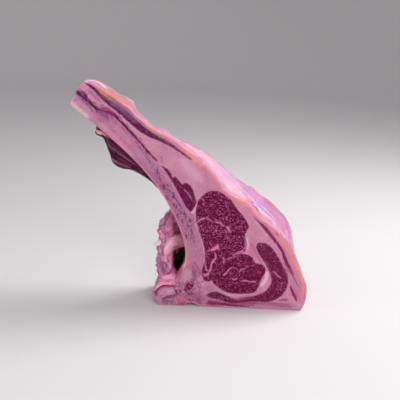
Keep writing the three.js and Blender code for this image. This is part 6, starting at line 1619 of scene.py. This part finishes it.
def fat_material(name):
    """Fat: matt pink-white on the cuts, a shiny streaked membrane on the outside."""
    g = Shader(name)
    cut = g.mix(g.range(g.noise(0.035, 2, 0.5), 0.35, 0.65), rgb(208, 142, 168), rgb(198, 126, 156))
    cut = g.mix(g.range(g.noise(0.11, 3, 0.6), 0.54, 0.72, 0.0, 0.3), cut, rgb(182, 126, 166))
    cut = g.mix(g.range(g.noise(0.36, 3, 0.66), 0.45, 0.66, 0.0, 0.4), cut, rgb(222, 158, 182))
    cut = g.mix(g.range(g.noise(0.5, 2, 0.6, 0.3, g.turned(g.obj, (1, 1, 1), 0, (9, 2, 40))), 0.52, 0.68, 0.0, 0.35), cut, rgb(180, 104, 142))
    grain = g.voronoi(0.55, "DISTANCE_TO_EDGE", g.vmath("ADD", g.obj, g.vmath("SCALE", g.noise(0.3, 1, 0.5, out="Color"), scale=3.0)))
    cut = g.mix(g.range(grain, 0.0, 0.12, 0.22, 0.0), cut, rgb(176, 100, 138))
    bleed = g.math("MULTIPLY", g.range(g.noise(0.8, 3, 0.65, 0.3), 0.47, 0.6), g.range(g.attr("seam"), 0.2, 2.0, 0.6, 0.0))
    cut = g.mix(bleed, cut, rgb(156, 66, 108))
    cut = coarse_mottle(g, cut)
    dep = g.nt.nodes.new("ShaderNodeSeparateXYZ")
    g.nt.links.new(g.obj, dep.inputs[0])
    flow = g.combine(g.math("MULTIPLY", g.attr("arc"), 0.03), g.math("MULTIPLY", dep.outputs[1], 0.11), 0.0)
    streak = g.noise(1.0, 4, 0.62, 0.6, flow)
    skin = g.mix(g.range(streak, 0.36, 0.64), rgb(216, 156, 184), rgb(198, 130, 170))
    skin = g.mix(g.range(g.noise(2.6, 3, 0.6, 0.4, flow), 0.5, 0.66, 0.0, 0.6), skin, rgb(240, 192, 212))
    skin = g.mix(g.range(g.noise(1.7, 3, 0.6, 0.4, g.turned(flow, (1, 1, 1), 0, (5, 9, 0))), 0.54, 0.68, 0.0, 0.5), skin, rgb(178, 100, 142))
    skin = g.mix(g.range(g.noise(0.05, 2, 0.5), 0.5, 0.7, 0.0, 0.4), skin, rgb(196, 138, 190))
    skin = g.mix(g.range(g.noise(0.07, 3, 0.6), 0.56, 0.72, 0.0, 0.4), skin, rgb(226, 148, 150))
    vein = g.range(g.math("ABSOLUTE", g.math("SUBTRACT", g.noise(1.9, 2, 0.5, 0.8, flow), 0.5)), 0.0, 0.014, 0.55, 0.0)
    skin = g.mix(g.range(g.noise(4.2, 3, 0.65, 0.3, flow), 0.54, 0.64, 0.0, 0.45), skin, rgb(184, 108, 148))
    skin = g.mix(g.math("MULTIPLY", vein, g.range(g.noise(0.08, 1), 0.5, 0.6)), skin, rgb(164, 84, 136))
    inner_side = g.mix(g.noise(0.1, 3), rgb(186, 112, 138), rgb(214, 150, 170))
    skin = g.mix(g.range(g.attr("outer"), 0.1, 0.7), inner_side, skin)
    colour = g.mix(g.range(g.attr("wall"), 0.3, 0.85), cut, skin)
    colour, over = g.overpaint(colour, 0.4)
    rough = g.range(g.attr("wall"), 0.2, 0.9, 0.5, 0.36)
    h = g.math("ADD", g.math("MULTIPLY", g.noise(0.7, 4, 0.6), 1.0), g.math("MULTIPLY", grain, 0.35))
    h = g.math("ADD", h, g.math("MULTIPLY", g.noise(0.35, 4, 0.7), g.math("MULTIPLY", g.attr("coarse"), 2.5)))
    return g.finish(colour, rough, g.bump(h, 0.4, 0.0007), coat=0.05, coat_rough=0.25, sss=0.12, radius=(1, 0.45, 0.4), sss_scale=0.0018, spec=0.22)


def bone_material(name):
    """Sawn bone: firm pale rim, porous bluish-pink marrow along the middle."""
    g = Shader(name)
    base = g.mix(g.range(g.noise(0.05, 2, 0.5), 0.35, 0.65), rgb(188, 122, 154), rgb(176, 108, 140))
    base = g.mix(g.range(g.noise(0.13, 3, 0.6), 0.54, 0.7, 0.0, 0.2), base, rgb(166, 112, 150))
    base = g.mix(g.range(g.noise(0.4, 3, 0.68), 0.46, 0.64, 0.0, 0.5), base, rgb(206, 140, 166))
    base = g.mix(g.range(g.noise(0.55, 2, 0.6, 0.3, g.turned(g.obj, (1, 1, 1), 0, (3, 22, 14))), 0.53, 0.66, 0.0, 0.5), base, rgb(148, 82, 122))
    lengthwise = g.combine(g.math("MULTIPLY", g.attr("along"), 0.16), g.math("MULTIPLY", g.attr("across"), 0.6), g.math("MULTIPLY", g.attr("wall"), 3.0))
    saw = g.noise(1.0, 3, 0.6, 0.3, lengthwise)
    base = g.mix(g.range(saw, 0.52, 0.70, 0.0, 0.32), base, rgb(146, 80, 122))
    base = g.mix(g.range(saw, 0.30, 0.46, 0.3, 0.0), base, rgb(214, 154, 174))
    amount = g.attr("pores")
    ground = g.range(g.noise(0.32, 3, 0.7), 0.42, 0.62)
    base = g.mix(g.math("MULTIPLY", ground, g.math("MULTIPLY", amount, 0.65)), base, rgb(138, 88, 128))
    base = g.mix(g.math("MULTIPLY", g.range(g.noise(0.5, 3, 0.7, 0.0, lengthwise), 0.5, 0.62), g.math("MULTIPLY", amount, 0.45)), base, rgb(206, 150, 176))

    def specks(a, b, move, size, mask_lo):
        vec = g.combine(g.math("MULTIPLY", g.attr("along"), a), g.math("MULTIPLY", g.attr("across"), b), move)
        d = g.range(g.voronoi(1.0, "F1", vec), size * 0.55, size, 1.0, 0.0)
        return g.math("MULTIPLY", d, g.range(g.noise(0.28, 2, 0.6, 0.0, g.turned(g.obj, (1, 1, 1), 0, (move * 17, 0, move * 9))), mask_lo, mask_lo + 0.06))

    hole = g.math("MAXIMUM", specks(0.24, 0.34, 1.0, 0.34, 0.44), specks(0.33, 0.46, 2.0, 0.36, 0.48))
    hole = g.math("MULTIPLY", hole, g.range(amount, 0.12, 0.7))
    base = g.mix(g.math("MULTIPLY", hole, 0.9), base, rgb(82, 26, 70))
    base = coarse_mottle(g, base)
    rim_line = g.math("MULTIPLY", g.range(g.attr("wall"), 0.08, 0.4), 0.5)
    base = g.mix(rim_line, base, rgb(212, 152, 164))
    side = g.mix(g.noise(0.12, 3), rgb(206, 132, 156), rgb(172, 98, 130))
    side = g.mix(g.range(g.noise(0.4, 3, 0.65), 0.5, 0.66, 0.0, 0.4), side, rgb(216, 156, 172))
    base = g.mix(g.range(g.attr("wall"), 0.5, 0.95, 0.0, 0.85), base, side)
    colour, over = g.overpaint(base, 0.4)
    rough = g.range(g.noise(0.4, 2), 0.3, 0.7, 0.42, 0.58)
    h = g.math("ADD", g.math("MULTIPLY", saw, 0.6), g.math("ADD", g.noise(0.9, 3, 0.6), g.math("MULTIPLY", hole, -1.6)))
    h = g.math("ADD", h, g.math("MULTIPLY", g.noise(0.35, 4, 0.7), g.math("MULTIPLY", g.attr("coarse"), 2.5)))
    return g.finish(colour, rough, g.bump(h, 0.45, 0.0007), coat=0.02, coat_rough=0.3, sss=0.06, sss_scale=0.0012, spec=0.16)


def flap_material(name):
    """Membrane over thin dark muscle, banded along the rib."""
    g = Shader(name)
    vec = g.combine(g.math("MULTIPLY", g.attr("along"), 0.045), g.math("MULTIPLY", g.attr("across"), 5.0), 0.0)
    n = g.noise(1.0, 4, 0.6, 0.5, vec)
    col = g.mix(g.range(n, 0.36, 0.62), rgb(54, 12, 38), rgb(104, 46, 76))
    col = g.mix(g.range(g.attr("across"), 0.86, 0.98, 0.0, 0.6), col, rgb(140, 74, 106))
    col = g.mix(g.range(g.noise(0.3, 3, 0.6), 0.54, 0.68, 0.0, 0.45), col, rgb(126, 58, 90))
    fine = g.noise(3.2, 3, 0.6, 0.4, vec)
    col = g.mix(g.range(fine, 0.56, 0.68, 0.0, 0.4), col, rgb(170, 96, 118))
    colour, over = g.overpaint(col, 0.5)
    h = g.math("ADD", fine, g.noise(0.8, 3, 0.6))
    return g.finish(colour, 0.8, g.bump(h, 0.45, 0.0009), coat=0.0, sss=0.04, spec=0.02, sss_scale=0.001)


def lump_material(name):
    """Soft lobes of fat; painted shade darkens the crevices to a dark wine red and darkens the recess beside the rib.
    """
    g = Shader(name)
    col = g.mix(g.range(g.noise(0.08, 3, 0.6), 0.36, 0.64), rgb(232, 144, 184), rgb(204, 118, 164))
    col = g.mix(g.range(g.noise(0.17, 3, 0.65), 0.52, 0.68, 0.0, 0.6), col, rgb(246, 180, 212))
    col = g.mix(g.range(g.noise(0.12, 2, 0.6, 0.5), 0.56, 0.7, 0.0, 0.35), col, rgb(164, 104, 164))
    col = g.mix(g.range(g.noise(0.3, 3, 0.7, 0.4), 0.60, 0.67, 0.0, 0.5), col, rgb(146, 58, 106))
    # Painted shade: dark wine red along the creases between the lobes.
    col = g.mix(g.range(g.attr("crease"), 0.08, 0.8, 0.0, 0.85), col, rgb(124, 38, 92))
    height = g.nt.nodes.new("ShaderNodeSeparateXYZ")
    g.nt.links.new(g.obj, height.inputs[0])
    # Painted shade in the recess: near black in the deep hole below 92 mm, brown-maroon in the shallow part above 99
    # mm.
    painted_recess_shade = g.mix(g.range(height.outputs[2], 92.0, 99.0), rgb(18, 7, 15), rgb(140, 74, 88))
    col = g.mix(g.range(g.attr("recess"), 0.12, 0.6, 0.0, 0.95), col, painted_recess_shade)
    colour, over = g.overpaint(col, 0.5)
    h = g.math("ADD", g.noise(0.5, 4, 0.6), g.math("MULTIPLY", g.noise(1.6, 3, 0.6), 0.5))
    return g.finish(colour, 0.42, g.bump(h, 0.5, 0.001), coat=0.03, coat_rough=0.25, sss=0.08, sss_scale=0.0016, spec=0.14)


def head_material(name):
    """Smooth creamy gristle over the rib's head."""
    g = Shader(name)
    col = g.mix(g.range(g.noise(0.07, 2, 0.5), 0.36, 0.64), rgb(238, 168, 202), rgb(220, 152, 180))
    col = g.mix(g.range(g.noise(0.2, 3, 0.6), 0.54, 0.7, 0.0, 0.4), col, rgb(184, 116, 142))
    col = g.mix(g.range(g.noise(0.4, 3, 0.66), 0.5, 0.66, 0.0, 0.3), col, rgb(238, 184, 204))
    colour, over = g.overpaint(col, 0.4)
    return g.finish(colour, 0.56, g.bump(g.noise(0.4, 4, 0.68), 0.6, 0.0012), coat=0.0, sss=0.10, spec=0.10, sss_scale=0.002)


lean = lean_material("lean_meat", (86, 1, 44), (102, 11, 58), (206, 114, 158), 1.0)
lean_deep = lean_material("lean_deep_meat", (84, 1, 42), (98, 10, 54), (206, 110, 152), 0.8)
lean_cap = lean_material("lean_cap_meat", (86, 4, 44), (106, 20, 64), (196, 104, 150), 0.85, 0.10)
lean_rib = lean_material("lean_rib_meat", (90, 8, 52), (106, 18, 68), (186, 102, 148), 0.45, 0.08)
lean_dark = lean_material("lean_dark_band", (68, 8, 50), (94, 26, 72), (152, 110, 158), 0.6, 0.45)
lean_thin = lean_material("lean_thin_strip", (84, 6, 54), (116, 26, 82), (178, 98, 144), 0.5, 0.12)
lean_streak = lean_material("lean_streak", (88, 12, 66), (118, 38, 94), (178, 98, 150), 0.5, 0.3, 0.85)
fat_mat, bone_mat, flap_mat = fat_material("fat"), bone_material("sawn_bone"), flap_material("flap_membrane")
lump_mat, head_mat = lump_material("lumpy_fat"), head_material("gristle")

FINISH = {
    "fat_body": (fat_mat, "fat"), "chine_fat": (lump_mat, "fat"), "rib_flap": (flap_mat, "flap"), "rib_bone": (bone_mat, "bone"),
    "chine_bone": (bone_mat, "bone"), "rib_head": (head_mat, "bone"), "eye_muscle": (lean, "lean"), "deep_muscle": (lean_deep, "lean"),
    "cap_muscle": (lean_cap, "lean"), "rib_muscle": (lean_rib, "lean"), "flank_muscle_band": (lean_dark, "lean_dark"),
    "rim_muscle_strip": (lean_thin, "lean"), "low_muscle_strip": (lean_thin, "lean"), "base_muscle_strip": (lean_thin, "lean"),
    "rib_muscle_streak": (lean_streak, "lean"), "chine_muscle": (lean_thin, "lean"),
}
for node, (mat, slot) in FINISH.items():
    ob = pieces[node]
    ob.data.materials.append(mat)
    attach(ob, "root")
    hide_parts(node)
nub.data.materials.append(lump_mat)
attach(nub, "root")


# ---- floor, light, camera ----------------------------------------------------------------------------------------
rim = [(0.6, 0.0), (1.4, 0.0), (2.3, 0.0)] + [(2.3 + 1.1 * math.sin(a), 1.1 - 1.1 * math.cos(a)) for a in np.linspace(0, math.pi / 2, 13)[1:]] + [(3.4, 2.6)]
turn = np.linspace(0, 2 * math.pi, 72, endpoint=False)
floor_pts = [(0.0, 0.0, 0.0)] + [(r * math.cos(a), r * math.sin(a), z) for r, z in rim for a in turn]
floor_faces = [(0, 1 + i, 1 + (i + 1) % 72) for i in range(72)]
floor_faces += [(1 + k * 72 + i, 1 + (k + 1) * 72 + i, 1 + (k + 1) * 72 + (i + 1) % 72, 1 + k * 72 + (i + 1) % 72) for k in range(len(rim) - 1) for i in range(72)]
floor_mesh = bpy.data.meshes.new("floor")
floor_mesh.from_pydata(floor_pts, [], floor_faces)
floor_mesh.polygons.foreach_set("use_smooth", [True] * len(floor_mesh.polygons))
floor = bpy.data.objects.new("floor", floor_mesh)
bpy.context.scene.collection.objects.link(floor)
g = Shader("pale_floor")
g.finish(rgb(226, 224, 224), 0.6, spec=0.3)
floor_mesh.materials.append(g.mat)

world = bpy.data.worlds.new("studio")
bpy.context.scene.world = world
world.use_nodes = True
world.node_tree.nodes["Background"].inputs[0].default_value = (0.86, 0.87, 0.90, 1)
world.node_tree.nodes["Background"].inputs[1].default_value = 0.42


def area_light(name, at, aim, size, power, colour=(1, 1, 1)):
    data = bpy.data.lights.new(name, "AREA")
    data.shape = "RECTANGLE"
    data.size, data.size_y = size
    data.energy = power
    data.color = colour
    ob = bpy.data.objects.new(name, data)
    bpy.context.scene.collection.objects.link(ob)
    ob.location = at
    ob.rotation_euler = (Vector(aim) - Vector(at)).to_track_quat("-Z", "Y").to_euler()
    return ob


area_light("key_top_right", (0.75, 0.35, 1.15), (0.02, 0.0, 0.18), (0.7, 0.7), 14.5, (1.0, 0.97, 0.98))
area_light("front_fill", (0.35, -1.5, 0.95), (0.0, 0.0, 0.15), (1.2, 0.9), 13.5)
area_light("left_fill", (-1.3, -0.5, 0.7), (0.0, 0.0, 0.18), (0.9, 0.9), 3.5)

TILT, ROLL = math.radians(16.0), math.radians(2.2)
target = Vector((-ORIGIN[0] / 1000, -ORIGIN[1] / 1000, 0.1731))
right = Vector((1, 0, 0))
up = Vector((0, math.sin(TILT), math.cos(TILT)))
look = Vector((0, math.cos(TILT), -math.sin(TILT)))
right_c = math.cos(ROLL) * right + math.sin(ROLL) * up
up_c = -math.sin(ROLL) * right + math.cos(ROLL) * up
cam_data = bpy.data.cameras.new("camera")
cam_data.lens, cam_data.sensor_width = 70.0, 36.0
cam = bpy.data.objects.new("camera", cam_data)
bpy.context.scene.collection.objects.link(cam)
rot = Matrix((right_c, up_c, -look)).transposed().to_4x4()
cam.matrix_world = Matrix.Translation(target - look * 1.16667) @ rot
bpy.context.scene.camera = cam
bpy.context.scene.view_settings.view_transform = "Standard"
